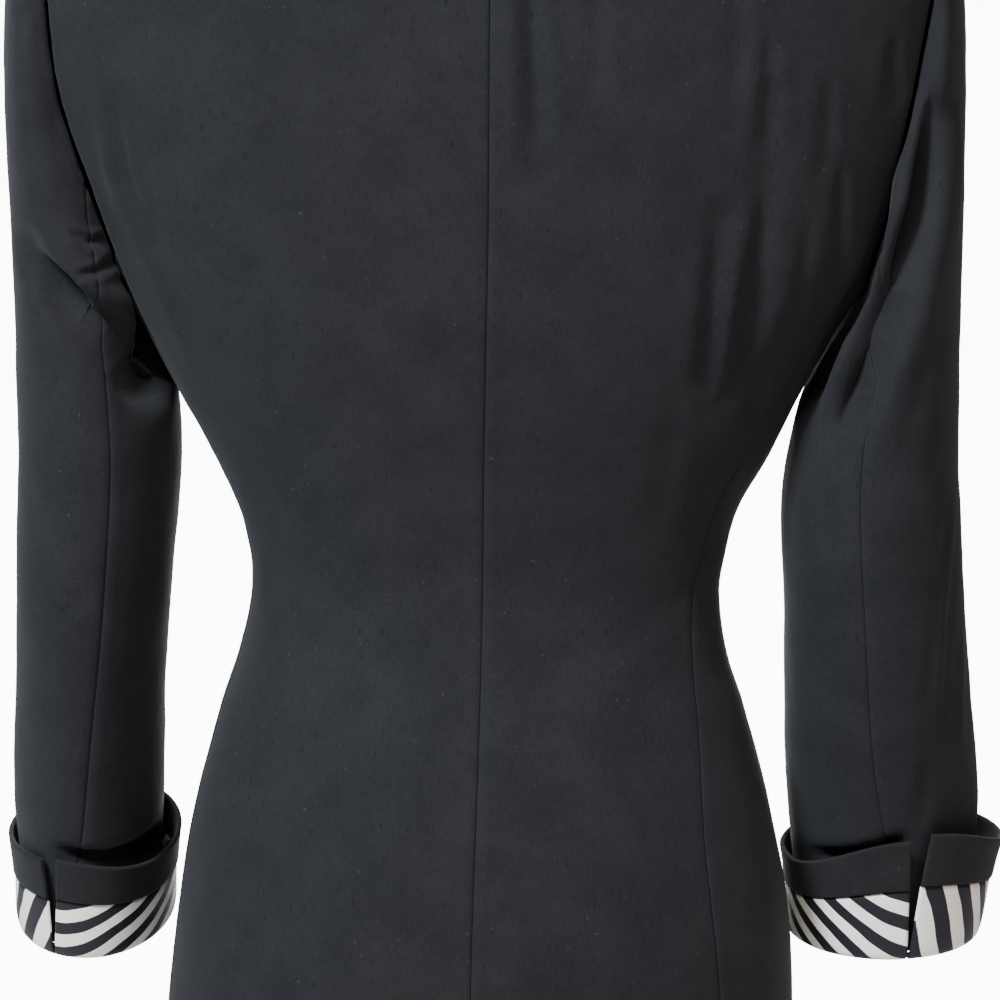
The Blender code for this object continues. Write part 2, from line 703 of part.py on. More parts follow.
def make_collar(material):
    """Stand and fall in one wall, turned over at the top."""
    rows = []
    for station in spread(COLLAR_STATIONS, -1.0, 1.0):
        seam = neckline(station)
        front = ease(NECK_TURN, NECK_TURN + 0.2, abs(station))
        stand = mix(1.0, COLLAR_FRONT_STAND, ease(NECK_TURN - 0.1, 1.0, abs(station)))
        run = neckline(min(station + COLLAR_STEP, 1.0)) - neckline(max(station - COLLAR_STEP, -1.0))
        run.z = 0
        outward = run.normalized().cross(Vector((0, 0, 1)))
        if outward.dot(Vector((seam.x, seam.y + 0.02, 0))) < 0:
            outward = -outward
        row = [seam + outward * out * mix(1.0, 0.5, front) + Vector((0, 0, up * stand + LAY_GAP))
               for out, up in COLLAR_STAND]
        for reach in COLLAR_FALL:
            place = seam + outward * reach
            resting = surface_over(place.x, place.y)
            x = seam.x + math.copysign(reach, seam.x)
            z = min(seam.z - GORGE_SLOPE * reach, ridge_height(x) - 0.001)
            resting = resting.lerp(Vector((x, body_depth(x, z, -1), z)), front)
            row.append(resting + body_normal(resting) * (CLOTH + COLLAR_LIFT))
        rows.append(row)
    return wall("collar", rows, grid_normals(rows, 1), CLOTH, material)


def surface_over(x, y):
    """The shoulder surface above a point in plan."""
    half = read_column(BODY_TABLE, "left" if x > 0 else "right", YOKE)
    depth = read_column(BODY_TABLE, "back" if y > 0 else "front", YOKE)
    fullness = 1 - (abs(x) / half) ** SQUARENESS
    rise = max(1 - (abs(y) / depth) ** SQUARENESS / fullness, 0.0) ** (1 / SHOULDER_ROUND)
    return Vector((x, y, mix(YOKE, ridge_height(x), rise)))


def make_lapel(side, material):
    """The turned-out top of a front: its points, moved out."""
    sign = sign_of(side)
    rows = []
    for z in spread(LAPEL_ROWS, LAPEL_FOOT[side], LAPEL_TOP):
        climb = (z - LAPEL_FOOT[side]) / (LAPEL_TOP - LAPEL_FOOT[side])
        roll = inner_x("left", z, -1) + LAPEL_TURN
        width = mix(LAPEL_FOOT_WIDTH, LAPEL_WIDTH, climb ** 0.9)
        row = []
        for share in spread(LAPEL_COLUMNS):
            x = sign * (roll + width * share)
            height = z - GORGE_SLOPE * width * share * climb ** 3
            y = body_depth(x, height, -1)
            point = Vector((x, y, height))
            lift = LAY_GAP + CLOTH + LAPEL_ROLL * math.sin(math.pi * min(share * 1.5, 1.0))
            row.append(point + body_normal(point) * lift)
        rows.append(row)
    return wall("lapel_" + side, rows, grid_normals(rows, sign), LAPEL_CLOTH, material)


def make_button(name, height, material):
    """A round button with a rim, on a short shank, standing on the right front."""
    surface = Vector((0.0, body_depth(0.0, height, -1), height))
    normal = body_normal(surface)
    profile = ((0.0, 0.0), (SHANK_RADIUS, 0.0), (SHANK_RADIUS, SHANK_HEIGHT),
               (BUTTON_RADIUS * 0.90, SHANK_HEIGHT + LAY_GAP / 2),
               (BUTTON_RADIUS, mix(SHANK_HEIGHT, BUTTON_THICK, 0.6)),
               (BUTTON_RADIUS * 0.92, BUTTON_THICK), (BUTTON_RADIUS * 0.74, BUTTON_THICK),
               (BUTTON_RADIUS * 0.66, BUTTON_BED), (0.0, BUTTON_BED))
    mesh = bpy.data.meshes.new(name)
    shape = bmesh.new()
    points = [shape.verts.new((radius, 0, up)) for radius, up in profile]
    for before, after in zip(points, points[1:]):
        shape.edges.new((before, after))
    bmesh.ops.spin(shape, geom=shape.verts[:] + shape.edges[:], cent=(0, 0, 0), axis=(0, 0, 1),
                   angle=2 * math.pi, steps=BUTTON_STEPS, use_merge=True)
    bmesh.ops.remove_doubles(shape, verts=shape.verts[:], dist=0.00001)
    bmesh.ops.recalc_face_normals(shape, faces=shape.faces[:])
    shape.to_mesh(mesh)
    shape.free()
    mesh.materials.append(material)
    mesh.shade_smooth()
    mesh.set_sharp_from_angle(angle=math.radians(SHARP_DEGREES))
    button = bpy.data.objects.new(name, mesh)
    button.rotation_euler = normal.to_track_quat("Z", "Y").to_euler()
    button.location = surface + normal * BUTTON_STANDOFF
    garment.objects.link(button)
    return button


def make_material(name, color, roughness):
    material = bpy.data.materials.new(name)
    material.use_nodes = True
    shader = material.node_tree.nodes["Principled BSDF"]
    shader.inputs["Base Color"].default_value = color
    shader.inputs["Roughness"].default_value = roughness
    shader.inputs["Metallic"].default_value = 0.0
    material.diffuse_color = color
    return material


for old in list(bpy.data.objects):
    bpy.data.objects.remove(old, do_unlink=True)

garment = bpy.data.collections.new("blazer")
bpy.context.scene.collection.children.link(garment)

def cloth(name):
    return make_material(name, LINEAR_CLOTH, CLOTH_ROUGHNESS)


for one_side in ("left", "right"):
    make_panel("back_" + one_side, one_side, 1, BACK_COLUMNS[one_side], cloth("back_" + one_side))
    make_panel("front_" + one_side, one_side, -1, FRONT_COLUMNS, cloth("front_" + one_side))
    make_side("side_" + one_side, one_side, SIDE_COLUMNS, cloth("side_" + one_side))
    make_lapel(one_side, cloth("lapel_" + one_side))
    make_sleeve(one_side, True, UPPER_SLEEVE_COLUMNS, cloth("sleeve_upper_" + one_side))
    make_sleeve(one_side, False, UNDER_SLEEVE_COLUMNS, cloth("sleeve_under_" + one_side))
    make_cuff_piece("cuff_facing_" + one_side, one_side, FACING_SECTION, CLOTH, CUFF_POINTS,
                    make_material("cuff_facing_" + one_side, LINEAR_FACING, FACING_ROUGHNESS))
    make_cuff_piece("cuff_band_" + one_side, one_side, BAND_SECTION, BAND_CLOTH, CUFF_POINTS,
                    cloth("cuff_band_" + one_side))

make_collar(cloth("collar"))
for label, place in zip(("button_upper", "button_lower"), BUTTON_HEIGHTS):
    make_button(label, place, make_material(label, LINEAR_BUTTON, BUTTON_ROUGHNESS))
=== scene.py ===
"""The blazer's cloth, seams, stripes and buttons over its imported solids, seen from behind."""
import math
from collections import namedtuple

import bmesh
import bpy
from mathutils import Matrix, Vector, noise


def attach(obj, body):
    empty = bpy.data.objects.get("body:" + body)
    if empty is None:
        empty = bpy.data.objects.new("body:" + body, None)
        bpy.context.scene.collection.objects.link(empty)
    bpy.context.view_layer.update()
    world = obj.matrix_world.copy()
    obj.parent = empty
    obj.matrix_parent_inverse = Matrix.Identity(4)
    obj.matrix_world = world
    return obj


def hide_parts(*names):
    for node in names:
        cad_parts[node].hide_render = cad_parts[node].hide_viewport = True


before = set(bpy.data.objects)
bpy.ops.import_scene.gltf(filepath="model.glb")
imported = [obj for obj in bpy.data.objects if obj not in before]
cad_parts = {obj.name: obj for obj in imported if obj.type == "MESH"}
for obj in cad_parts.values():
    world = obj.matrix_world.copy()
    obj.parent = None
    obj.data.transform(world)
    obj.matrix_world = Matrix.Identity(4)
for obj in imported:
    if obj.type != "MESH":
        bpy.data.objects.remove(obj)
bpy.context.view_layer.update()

# Sizes of the garment, as its solids have them
CLOTH = 0.002
BAND_CLOTH = 0.0026
LAPEL_CLOTH = 0.0016
SEAM_GAP = 0.0003
ARMHOLE_GAP = 0.0008
SLEEVE_CLEAR = 0.0020
LAY_GAP = 0.0005
HEM = -0.660
UNDERARM = -0.245
ARMHOLE_NOTCH = -0.228
SIDE_TOP = -0.260
YOKE = -0.105
NECK_SIDE = 0.018
SHOULDER_TIP = -0.040
NECK_HALF = 0.075
NECK_CURVE = 2.5
TIP_LEFT = 0.2175
TIP_RIGHT = 0.2215
RIDGE = 0.0185
SQUARENESS = 2.3
SHOULDER_ROUND = 2.2
BREAK_POINT = -0.350
ROLL_BOW = 0.72
OVERLAP = 0.021
UNDERLAP_STEP = 0.0032
UNDERLAP_END = 0.030
UNDERLAP_FADE = 0.070
CUTAWAY_START = -0.520
CUTAWAY = 0.030
CUTAWAY_POWER = 1.5
HEM_CORNER = 0.040
CORNER_FADE = -0.530
NORMAL_STEP = 0.00002
TURN_STEP = 0.01
TINY = 1e-12

# Sections of the body, in millimetres: the half width on either side, the depths, the place of the
# centre-back seam, and how far round the panels reach, as a share of the half width.
BODY_COLUMNS = ("height", "left", "right", "back", "front", "seam",
                "edge_back_left", "edge_back_right", "edge_front")
BODY = (
    (-660, 163, 157, 114, 118, 2, 0.985, 0.8, 0.8),
    (-613, 161, 156, 115, 117, 1, 0.985, 0.78, 0.8),
    (-560, 155, 153, 114, 115, 0.2, 0.985, 0.765, 0.8),
    (-510, 146.5, 143.5, 107, 109, -1.2, 0.985, 0.775, 0.8),
    (-458, 133, 130, 92, 100, -2.2, 0.985, 0.83, 0.8),
    (-432, 124, 121.5, 84, 96, -2.6, 0.985, 0.865, 0.8),
    (-400, 117, 117.2, 78, 95, -3, 0.985, 0.89, 0.8),
    (-381, 117.8, 120.3, 78, 98, -3.4, 0.985, 0.895, 0.805),
    (-356, 123.6, 127.5, 82, 105, -3.8, 0.985, 0.895, 0.815),
    (-330, 135.2, 141.5, 88, 115, -4.4, 0.985, 0.9, 0.835),
    (-303, 150, 155, 94, 126, -5.2, 0.982, 0.915, 0.87),
    (-260, 172.5, 179, 101, 135, -6.4, 0.972, 0.945, 0.925),
    (-228, 188, 200, 104, 134, -7.2, 0.955, 0.955, 0.945),
    (-192.5, 203.3, 212.4, 106, 129, -7.8, 0.942, 0.944, 0.912),
    (-150, 218.5, 223, 106.5, 120, -8, 0.938, 0.936, 0.895),
    (-105, 224.8, 232, 105, 108, -8.3, 0.936, 0.936, 0.9),
)
# Sections of the sleeves, in millimetres and degrees, and where their back seams run, in turns.
SLEEVE_COLUMNS = ("height", "across", "forward", "half_width", "half_depth", "lean")
SLEEVE_LEFT = (
    (-290, 194.5, 0, 39.5, 58, 0),
    (-330, 193.2, 0, 40.8, 58, 2),
    (-390, 197, -4, 39.2, 56, 8),
    (-450, 201.8, -16, 37.8, 53, 14),
    (-505, 205.5, -32, 38.5, 50, 18),
    (-545, 207, -46, 36.2, 47, 17),
    (-579, 206.6, -58, 33.5, 46, 15.5),
)
SLEEVE_RIGHT = (
    (-290, 197.5, 0, 38, 60, 0),
    (-330, 192.9, 0, 42.4, 60, 2),
    (-355, 192.4, 0, 44.6, 60, 4),
    (-407, 194.8, -8, 45.4, 58, 10),
    (-450, 197, -17, 47, 56, 12),
    (-505, 200.8, -33, 48.7, 54, 9),
    (-545, 202.2, -41.5, 46.2, 52, 6),
    (-580, 202.4, -46.5, 42.5, 50, 4),
)
SEAM_COLUMNS = ("height", "left", "right")
BACK_SEAM = (
    (-290, -0.052, -0.03),
    (-400, -0.048, -0.02),
    (-480, -0.024, -0.012),
    (-520, -0.006, 0.002),
    (-570, 0.04, 0.026),
)
HEAD_SEAM_TURN = -0.085
FRONT_SEAM_TURN = 0.610
ROUND_SLEEVE = 0.40
HEAD_OUT = {"left": 0.090, "right": 0.058}
HEAD_OUT_UNDER = 0.004
HEAD_OUT_BACK = 0.030
HEAD_POWER = 1.6
HEAD_LEAVE = (0.8, 0.15)
HEAD_ARRIVE = (0.9, 1.0)
HEAD_CROWD = 1.15
HEAD_SEAM = 1.4
FOLDED_RISE = 1.8
LAST_LEVEL = 1.994
FACES_VIEW = (-0.1, 0.35)

# The large folds, pressed in as they are in the solids: each one's two ends in x and z, its half
# width and its depth, in millimetres.
FOLDS = {
    "back_right": (
        ((-142, -150), (-136, -238), 14, 2),
        ((-136, -238), (-127, -292), 15, 3.2),
        ((-118, -205), (-112, -285), 12, 2.2),
        ((-27, -85), (-32, -180), 14, 1.6),
    ),
    "back_left": (
        ((170, -155), (157, -215), 13, 2),
    ),
    "sleeve_left": (
        ((222, -224), (200, -258), 13, 6),
        ((200, -258), (166, -292), 14, 5),
    ),
    "sleeve_right": (
        ((-221, -160), (-205, -250), 12, 4),
        ((-205, -250), (-183, -305), 12, 5.5),
    ),
}

# Finer creases, in millimetres: the points that each runs through in x and z, its half
# width, its depth (below zero for a ridge), the share of it that stands up beside the crease, and how
# much wider it is to the right of its run, seen from behind.
Crease = namedtuple("Crease", "path width depth lip skew", defaults=(0.7,))
CREASES = {
    "back_left": (
        (((186, -150), (176, -190), (163, -222), (147, -262), (137, -292)), 5, -1.2, 0.3),
        (((176, -152), (171, -186), (164, -212)), 3.5, 1.6, 0.5),
        (((153, -140), (155, -172)), 4, 0.7, 0.4),
        (((111, -85), (106, -165)), 6, 0.6, 0.4),
        (((60, -70), (66, -150)), 8, 0.5, 0.3),
        (((128, -300), (104, -352), (90, -392)), 9, 0.6, 0.4),
        (((100, -400), (60, -424), (20, -428)), 8, 0.5, 0.4),
    ),
    "back_right": (
        (((-125, -78), (-125.4, -155)), 4.8, 1.2, 0.5),
        (((-140, -115), (-140.5, -180)), 4.4, 1.8, 0.6),
        (((-140.2, -186), (-134.9, -237), (-128.2, -290)), 5, 2.4, 0.5, 0.9),
        (((-116.7, -205), (-111.8, -292)), 4.8, 1.7, 0.5, 0.9),
        (((-174.6, -176), (-174.4, -244)), 3.6, 1.4, 0.5),
        (((-198.4, -120), (-200.3, -160)), 4, 1.4, 0.5),
        (((-168.2, -136), (-167.7, -190)), 4, 1.3, 0.5),
        (((-26.2, -75), (-29, -120), (-31.8, -180)), 5, 2.4, 0.5),
        (((-59.8, -85), (-60, -155)), 5.2, 1, 0.4),
        (((-150, -250), (-138, -292), (-126, -330)), 5, 1.2, 0.5),
        (((-100, -270), (-92, -330), (-86, -372)), 7, 0.6, 0.4),
        (((-98, -398), (-66, -420), (-26, -424)), 8, 0.5, 0.4),
        (((-160, -205), (-154, -262)), 3.4, 1, 0.5),
    ),
    "side_right": (
        (((-150, -285), (-128, -345), (-112, -392)), 5, 0.9, 0.4),
    ),
    "side_left": (
        (((148, -290), (126, -350), (114, -400)), 5, 0.7, 0.4),
    ),
    "front_left": (
        (((182, -150), (150, -215), (120, -262)), 5.5, 1.2, 0.4),
        (((150, -262), (100, -330), (40, -368)), 6.5, 1.1, 0.4),
        (((128, -340), (80, -372), (34, -382)), 5, 0.9, 0.4),
        (((118, -410), (72, -404), (30, -390)), 5.5, 0.8, 0.4),
    ),
    "front_right": (
        (((-184, -155), (-156, -210), (-128, -250)), 5, 1.1, 0.4),
        (((-154, -268), (-108, -326), (-46, -364)), 6.5, 1.2, 0.4),
        (((-122, -352), (-76, -376), (-30, -380)), 5, 0.9, 0.4),
        (((-116, -418), (-64, -400), (-24, -386)), 5.5, 0.9, 0.4),
    ),
    "sleeve_left:back": (
        (((223, -225), (195.8, -249), (175.9, -261), (163, -278), (157, -312)),
         12.5, 12.2, 0.08, 0.33),
        (((222, -532), (205, -538.5), (190, -540), (175, -537), (160, -529)), 5.2, 7, 0.1, 0.8),
        (((200, -216), (190, -222), (183, -222)), 2.4, 1.6, 0.7),
        (((198, -238), (186, -236), (178, -230)), 2.4, 1.6, 0.8),
        (((220, -250), (205, -290), (198, -330)), 7, 0.8, 0.3),
        (((226, -330), (214, -372), (208, -400)), 7, 0.6, 0.3),
        (((190, -395), (208, -410), (226, -412)), 5, 0.6, 0.3),
    ),
    "sleeve_left:front": (
        (((226, -200), (206, -236), (180, -262)), 5, 2, 0.5),
        (((222, -372), (200, -392), (178, -396)), 4.5, 1.8, 0.5),
        (((228, -402), (206, -414), (184, -412)), 4.5, 1.4, 0.5),
        (((224, -350), (206, -362), (190, -364)), 4, 0.9, 0.4),
    ),
    "sleeve_right:back": (
        (((-218.5, -140), (-210.6, -202), (-197.5, -239),
          (-186.8, -264), (-177.6, -298), (-170, -325)), 3.4, 12.5, 0.2, 2.8),
        (((-208.5, -170), (-201, -205), (-190, -240), (-179, -262)), 4, -2, 0),
        (((-201, -195), (-184.5, -244.7), (-172.1, -267.5), (-160.2, -295.5), (-156, -315)),
         5, 10, 0.1, 0.9),
        (((-216, -520.5), (-201, -528.5), (-186, -534), (-171, -537), (-156, -538.5)),
         5.2, 7, 0.1, 0.8),
        (((-233.5, -340), (-228.2, -398.5), (-225.5, -439), (-224.7, -474)), 2.2, -1.3, 0.5),
        (((-238.1, -415), (-239, -480)), 2, -1, 0.5),
        (((-223, -470), (-218, -520)), 4, 0.8, 0.4),
        (((-221, -265), (-208, -310), (-202, -345)), 7, 0.9, 0.3),
    ),
    "sleeve_right:front": (
        (((-226, -200), (-208, -238), (-186, -268)), 5, 2, 0.5),
        (((-226, -380), (-200, -398), (-172, -400)), 4.5, 1.8, 0.5),
        (((-232, -410), (-206, -424), (-180, -420)), 4.5, 1.3, 0.5),
        (((-222, -350), (-200, -366), (-178, -366)), 4, 1, 0.4),
    ),
}

FACING_SECTION = (
    (-0.0022, -0.0024), (0.003, -0.0028), (0.0066, -0.001),
    (0.008, 0.004), (0.0086, 0.014), (0.0092, 0.027),
)
BAND_SECTION = (
    (0.0102, 0.0274), (0.0114, 0.038), (0.013, 0.048),
)
SPLIT_TURN = {"left": 0.062, "right": 0.036}
SPLIT_HALF_TOP = 0.0042
SPLIT_HALF_FOOT = 0.0002
ROUND_CUFF = 0.29
SPLIT_LIFT = {"left": (0.006, 0.008), "right": (0.017, 0.014)}
INNER_SINK = {"left": 0.0015, "right": 0.0060}
SPLIT_LIFT_REACH = 0.22
FLARE = {"left": 0.85, "right": 1.15}
RIM_SHIFT = {"left": -0.0018, "right": 0.0040}

COLLAR_STAND = (
    (-0.0026, -0.0007), (-0.0052, 0.01), (-0.0044, 0.019),
    (-0.0008, 0.024), (0.0052, 0.0235),
)
COLLAR_FALL = (0.010, 0.018, 0.026, 0.033)
COLLAR_END = -0.040
COLLAR_LIFT = 0.0022
COLLAR_FRONT_STAND = 0.15
COLLAR_STEP = 0.04
NECK_TURN = 0.62
GORGE_SLOPE = 0.45
LAPEL_TOP = -0.0415
LAPEL_WIDTH = 0.072
LAPEL_FOOT_WIDTH = 0.009
LAPEL_FOOT = {"left": -0.300, "right": -0.335}
LAPEL_TURN = 0.0008
LAPEL_ROLL = 0.0012
BUTTON_RADIUS = 0.010
BUTTON_THICK = 0.0036
BUTTON_HEIGHTS = {"upper": -0.372, "lower": -0.462}
BUTTON_STANDOFF = 0.0006
SHANK_RADIUS = 0.003
SHANK_HEIGHT = 0.0012


# The garment's surfaces
def columns_of(table, names, lengths):
    """The table by columns, lowest row first, with its first few columns brought to metres."""
    rows = sorted(table)
    return {name: [row[index] / (1000 if index < lengths else 1) for row in rows]
            for index, name in enumerate(names)}


def bridge(start, leave, end, arrive, share):
    """A place on the smooth curve between two ends, with the tangents that it has there."""
    square = share * share
    cube = square * share
    return (start * (2 * cube - 3 * square + 1) + leave * (cube - 2 * square + share)
            + end * (3 * square - 2 * cube) + arrive * (cube - square))


def read_column(table, name, height):
    """A smooth curve through one column, read at a height."""
    heights = table["height"]
    values = table[name]
    if height <= heights[0]:
        return values[0]
    if height >= heights[-1]:
        return values[-1]
    index = max(i for i, low in enumerate(heights) if low <= height)
    span = heights[index + 1] - heights[index]

    def slope(i):
        before = max(i - 1, 0)
        after = min(i + 1, len(heights) - 1)
        return (values[after] - values[before]) / (heights[after] - heights[before]) * span

    return bridge(values[index], slope(index), values[index + 1], slope(index + 1),
                  (height - heights[index]) / span)


def mix(low, high, share):
    return low + (high - low) * share


def ease(low, high, value):
    share = min(max((value - low) / (high - low), 0.0), 1.0)
    return share * share * (3 - 2 * share)


def spread(count, low=0.0, high=1.0):
    return [mix(low, high, index / (count - 1)) for index in range(count)]


def edged(count, pull=0.72):
    """Shares from 0 to 1 that crowd toward both ends, where the seams are."""
    return [t - pull * math.sin(2 * math.pi * t) / (2 * math.pi) for t in spread(count)]


BODY_TABLE = columns_of(BODY, BODY_COLUMNS, 6)
SLEEVE_TABLES = {"left": columns_of(SLEEVE_LEFT, SLEEVE_COLUMNS, 5),
                 "right": columns_of(SLEEVE_RIGHT, SLEEVE_COLUMNS, 5)}
SEAM_TABLE = columns_of(BACK_SEAM, SEAM_COLUMNS, 1)


def half_over(x, z):
    return read_column(BODY_TABLE, "left" if x > 0 else "right", z)


def depth_over(y, z):
    return read_column(BODY_TABLE, "back" if y > 0 else "front", z)


def sign_of(side):
    return 1.0 if side == "left" else -1.0


def ridge_height(x):
    reach = max(abs(x) - NECK_HALF, 0.0)
    tip = TIP_LEFT if x > 0 else TIP_RIGHT
    return mix(RIDGE, SHOULDER_TIP, reach / (tip - NECK_HALF))


def body_field(x, y, z):
    lift = max(z - YOKE, 0.0) / (ridge_height(x) - YOKE)
    closing = 1 - lift ** SHOULDER_ROUND
    return (closing * ((abs(x) / half_over(x, z)) ** SQUARENESS - 1)
            + (abs(y) / depth_over(y, z)) ** SQUARENESS)


def body_normal(point):
    x, y, z = point
    step = NORMAL_STEP
    return Vector((body_field(x + step, y, z) - body_field(x - step, y, z),
                   body_field(x, y + step, z) - body_field(x, y - step, z),
                   body_field(x, y, z + step) - body_field(x, y, z - step))).normalized()


def body_depth(x, z, facing):
    lift = min(max(z - YOKE, 0.0) / (ridge_height(x) - YOKE), 1.0)
    fullness = 1 - min(abs(x) / half_over(x, z), 1.0) ** SQUARENESS
    closing = max((1 - lift ** SHOULDER_ROUND) * fullness, 0.0)
    return facing * depth_over(facing, z) * closing ** (1 / SQUARENESS)


def round_turn(share):
    return math.copysign(math.asin(min(abs(share), 1.0) ** (SQUARENESS / 2)), share)


def section_point(angle, z, facing):
    power = 2 / SQUARENESS
    x = math.copysign(half_over(angle, z) * abs(math.sin(angle)) ** power, angle)
    y = math.copysign(depth_over(facing, z) * abs(math.cos(angle)) ** power,
                      facing * math.cos(angle))
    return Vector((x, y, z))


def edge_share(side, z, facing):
    name = "edge_front" if facing < 0 else "edge_back_" + side
    return read_column(BODY_TABLE, name, z)


def inner_x(side, z, facing):
    sign = sign_of(side)
    if facing > 0:
        return read_column(BODY_TABLE, "seam", z) + sign * SEAM_GAP / 2
    if z < BREAK_POINT:
        away = CUTAWAY * ease(-CUTAWAY_START, -HEM, -z) ** CUTAWAY_POWER
        return sign * (away - OVERLAP)
    climb = (z - BREAK_POINT) / (NECK_SIDE - BREAK_POINT)
    return sign * mix(-OVERLAP, NECK_HALF, min(climb, 1.0) ** ROLL_BOW)


def panel_point(side, share, z, facing):
    sign = sign_of(side)
    middle = inner_x(side, z, facing)
    inner = round_turn(middle / half_over(middle, z))
    outer = sign * round_turn(edge_share(side, z, facing))
    if z < ARMHOLE_NOTCH:
        outer -= sign * SEAM_GAP / 2 / half_over(sign, z)
    return section_point(mix(inner, outer, share), z, facing)


def top_height(x, facing):
    if facing > 0 and abs(x) < NECK_HALF:
        return NECK_SIDE * (abs(x) / NECK_HALF) ** NECK_CURVE
    return ridge_height(x)


def upper_point(side, share, climb, facing):
    sign = sign_of(side)
    tip = sign * (TIP_LEFT if side == "left" else TIP_RIGHT)
    low = panel_point(side, share, YOKE, facing)
    neck = inner_x(side, YOKE, facing) if facing > 0 else sign * NECK_HALF
    rise = math.sin(climb * math.pi / 2)
    x = mix(low.x, mix(neck, tip, share), rise ** 2)
    z = mix(YOKE, top_height(x, facing), rise)
    if facing < 0 and share == 0:
        x = inner_x(side, z, facing)
    y = body_depth(x, z, facing)
    return Vector((x, facing * max(abs(y), SEAM_GAP / 2), z))


def inset_for_overlap(side, point):
    if side == "right" or point.y > 0:
        return 0.0
    return UNDERLAP_STEP * (1 - ease(UNDERLAP_END, UNDERLAP_FADE, point.x))


def corner_lift(distance):
    short = max(HEM_CORNER - distance, 0.0)
    return HEM_CORNER - math.sqrt(HEM_CORNER ** 2 - short ** 2)


def underarm_height(share):
    return UNDERARM + (ARMHOLE_NOTCH - UNDERARM) * (2 * share - 1) ** 2


def side_point(side, share, z):
    sign = sign_of(side)
    half = half_over(sign, z)
    back = round_turn(edge_share(side, z, 1)) + SEAM_GAP / 2 / half
    front = math.pi - round_turn(edge_share(side, z, -1)) - SEAM_GAP / 2 / half
    angle = mix(back, front, share)
    facing = 1 if angle < math.pi / 2 else -1
    local = angle if facing > 0 else math.pi - angle
    return section_point(sign * local, z, facing)


ARMHOLE_LEVELS = (ARMHOLE_NOTCH, -0.2050, -0.1800, -0.1550, -0.1300, YOKE)
ARMHOLE_CLIMBS = (0.20, 0.40, 0.58, 0.74, 0.86, 0.95, 1.0)


def armhole_loop(side):
    """The armhole as points: from underarm up the back to the shoulder's tip, then down the front."""
    halves = []
    for facing, high in ((1, 0.02), (-1, 0.98)):
        half = [side_point(side, share, underarm_height(share)) for share in spread(6, 0.5, high)]
        half += [panel_point(side, 1.0, z, facing) for z in ARMHOLE_LEVELS]
        half += [upper_point(side, 1.0, climb, facing) for climb in ARMHOLE_CLIMBS]
        halves.append(half)
    return halves[0], halves[1][::-1]


def row_distances(row):
    """How far each point of a row is from its first and from its last point."""
    run = [0.0]
    for before, after in zip(row, row[1:]):
        run.append(run[-1] + (after - before).length)
    return [(value, run[-1] - value) for value in run]


def along(points, share):
    lengths = [first for first, last in row_distances(points)]
    goal = share * lengths[-1]
    for index in range(len(points) - 1):
        if goal <= lengths[index + 1] + TINY:
            part = (goal - lengths[index]) / max(lengths[index + 1] - lengths[index], TINY)
            return points[index].lerp(points[index + 1], part)
    return points[-1].copy()


def armhole_point(loop, turn):
    rising, falling = loop
    turn = turn % 1.0
    if turn >= 0.75:
        return along(rising, (turn - 0.75) * 2)
    if turn <= 0.25:
        return along(rising, (turn + 0.25) * 2)
    return along(falling, (turn - 0.25) * 2)


def ring_point(table, side, z, turn, out=0.0, up=0.0):
    sign = sign_of(side)
    lean = math.radians(read_column(table, "lean", z))
    angle = turn * 2 * math.pi
    width = read_column(table, "half_width", z) + out
    depth = read_column(table, "half_depth", z) + out
    middle = Vector((sign * read_column(table, "across", z), read_column(table, "forward", z), z))
    backward = Vector((0, math.cos(lean), -math.sin(lean)))
    upward = Vector((0, math.sin(lean), math.cos(lean)))
    return (middle + Vector((sign * width * math.sin(angle), 0, 0))
            + backward * depth * math.cos(angle) + upward * up)


def head_base(side, loop, turn):
    """One line down the sleeve head: its start, its tangent there, its end, its tangent there."""
    sign = sign_of(side)
    table = SLEEVE_TABLES[side]
    start = armhole_point(loop, turn)
    end = ring_point(table, side, table["height"][-1], turn)
    height = (1 + math.sin(turn * 2 * math.pi)) / 2
    normal = body_normal(start)
    around = armhole_point(loop, turn + TURN_STEP) - armhole_point(loop, turn - TURN_STEP)
    away = normal.cross(around.normalized()).normalized() * sign
    run = end - start
    leave = Vector((sign * mix(HEAD_OUT_UNDER, HEAD_OUT[side], height ** HEAD_POWER), 0, 0))
    leave += Vector((0, HEAD_OUT_BACK * math.cos(turn * 2 * math.pi), 0))
    leave += run * mix(*HEAD_LEAVE, height)
    arrive = Vector((0, 0, -1)) * run.length * mix(*HEAD_ARRIVE, height)
    fold = (1 - leave.normalized().dot(away)) / 2
    start = start + away * ARMHOLE_GAP + normal * ARMHOLE_GAP * FOLDED_RISE * fold
    return start, leave, end, arrive


def head_point(side, base, turn, share):
    point = pressed(side, bridge(*base, share), turn, ease(0.0, 0.2, share))
    return keep_clear(side, point, mix(ARMHOLE_GAP, SLEEVE_CLEAR, ease(0.0, 0.3, share)))


def off_line(x, z, start, end):
    """How far along a straight run a place lies, from 0 to 1, and how far off it, in x and z."""
    run_x = end[0] - start[0]
    run_z = end[1] - start[1]
    share = ((x - start[0]) * run_x + (z - start[1]) * run_z) / (run_x ** 2 + run_z ** 2)
    share = min(max(share, 0.0), 1.0)
    return share, x - start[0] - run_x * share, z - start[1] - run_z * share


def fold_depth(piece, x, z):
    deepest = 0.0
    for start, end, half_width, depth in FOLDS.get(piece, ()):
        away = math.hypot(*off_line(x * 1000, z * 1000, start, end)[1:])
        deepest = max(deepest, depth * max(1 - (away / half_width) ** 2, 0.0) ** 2)
    return deepest / 1000


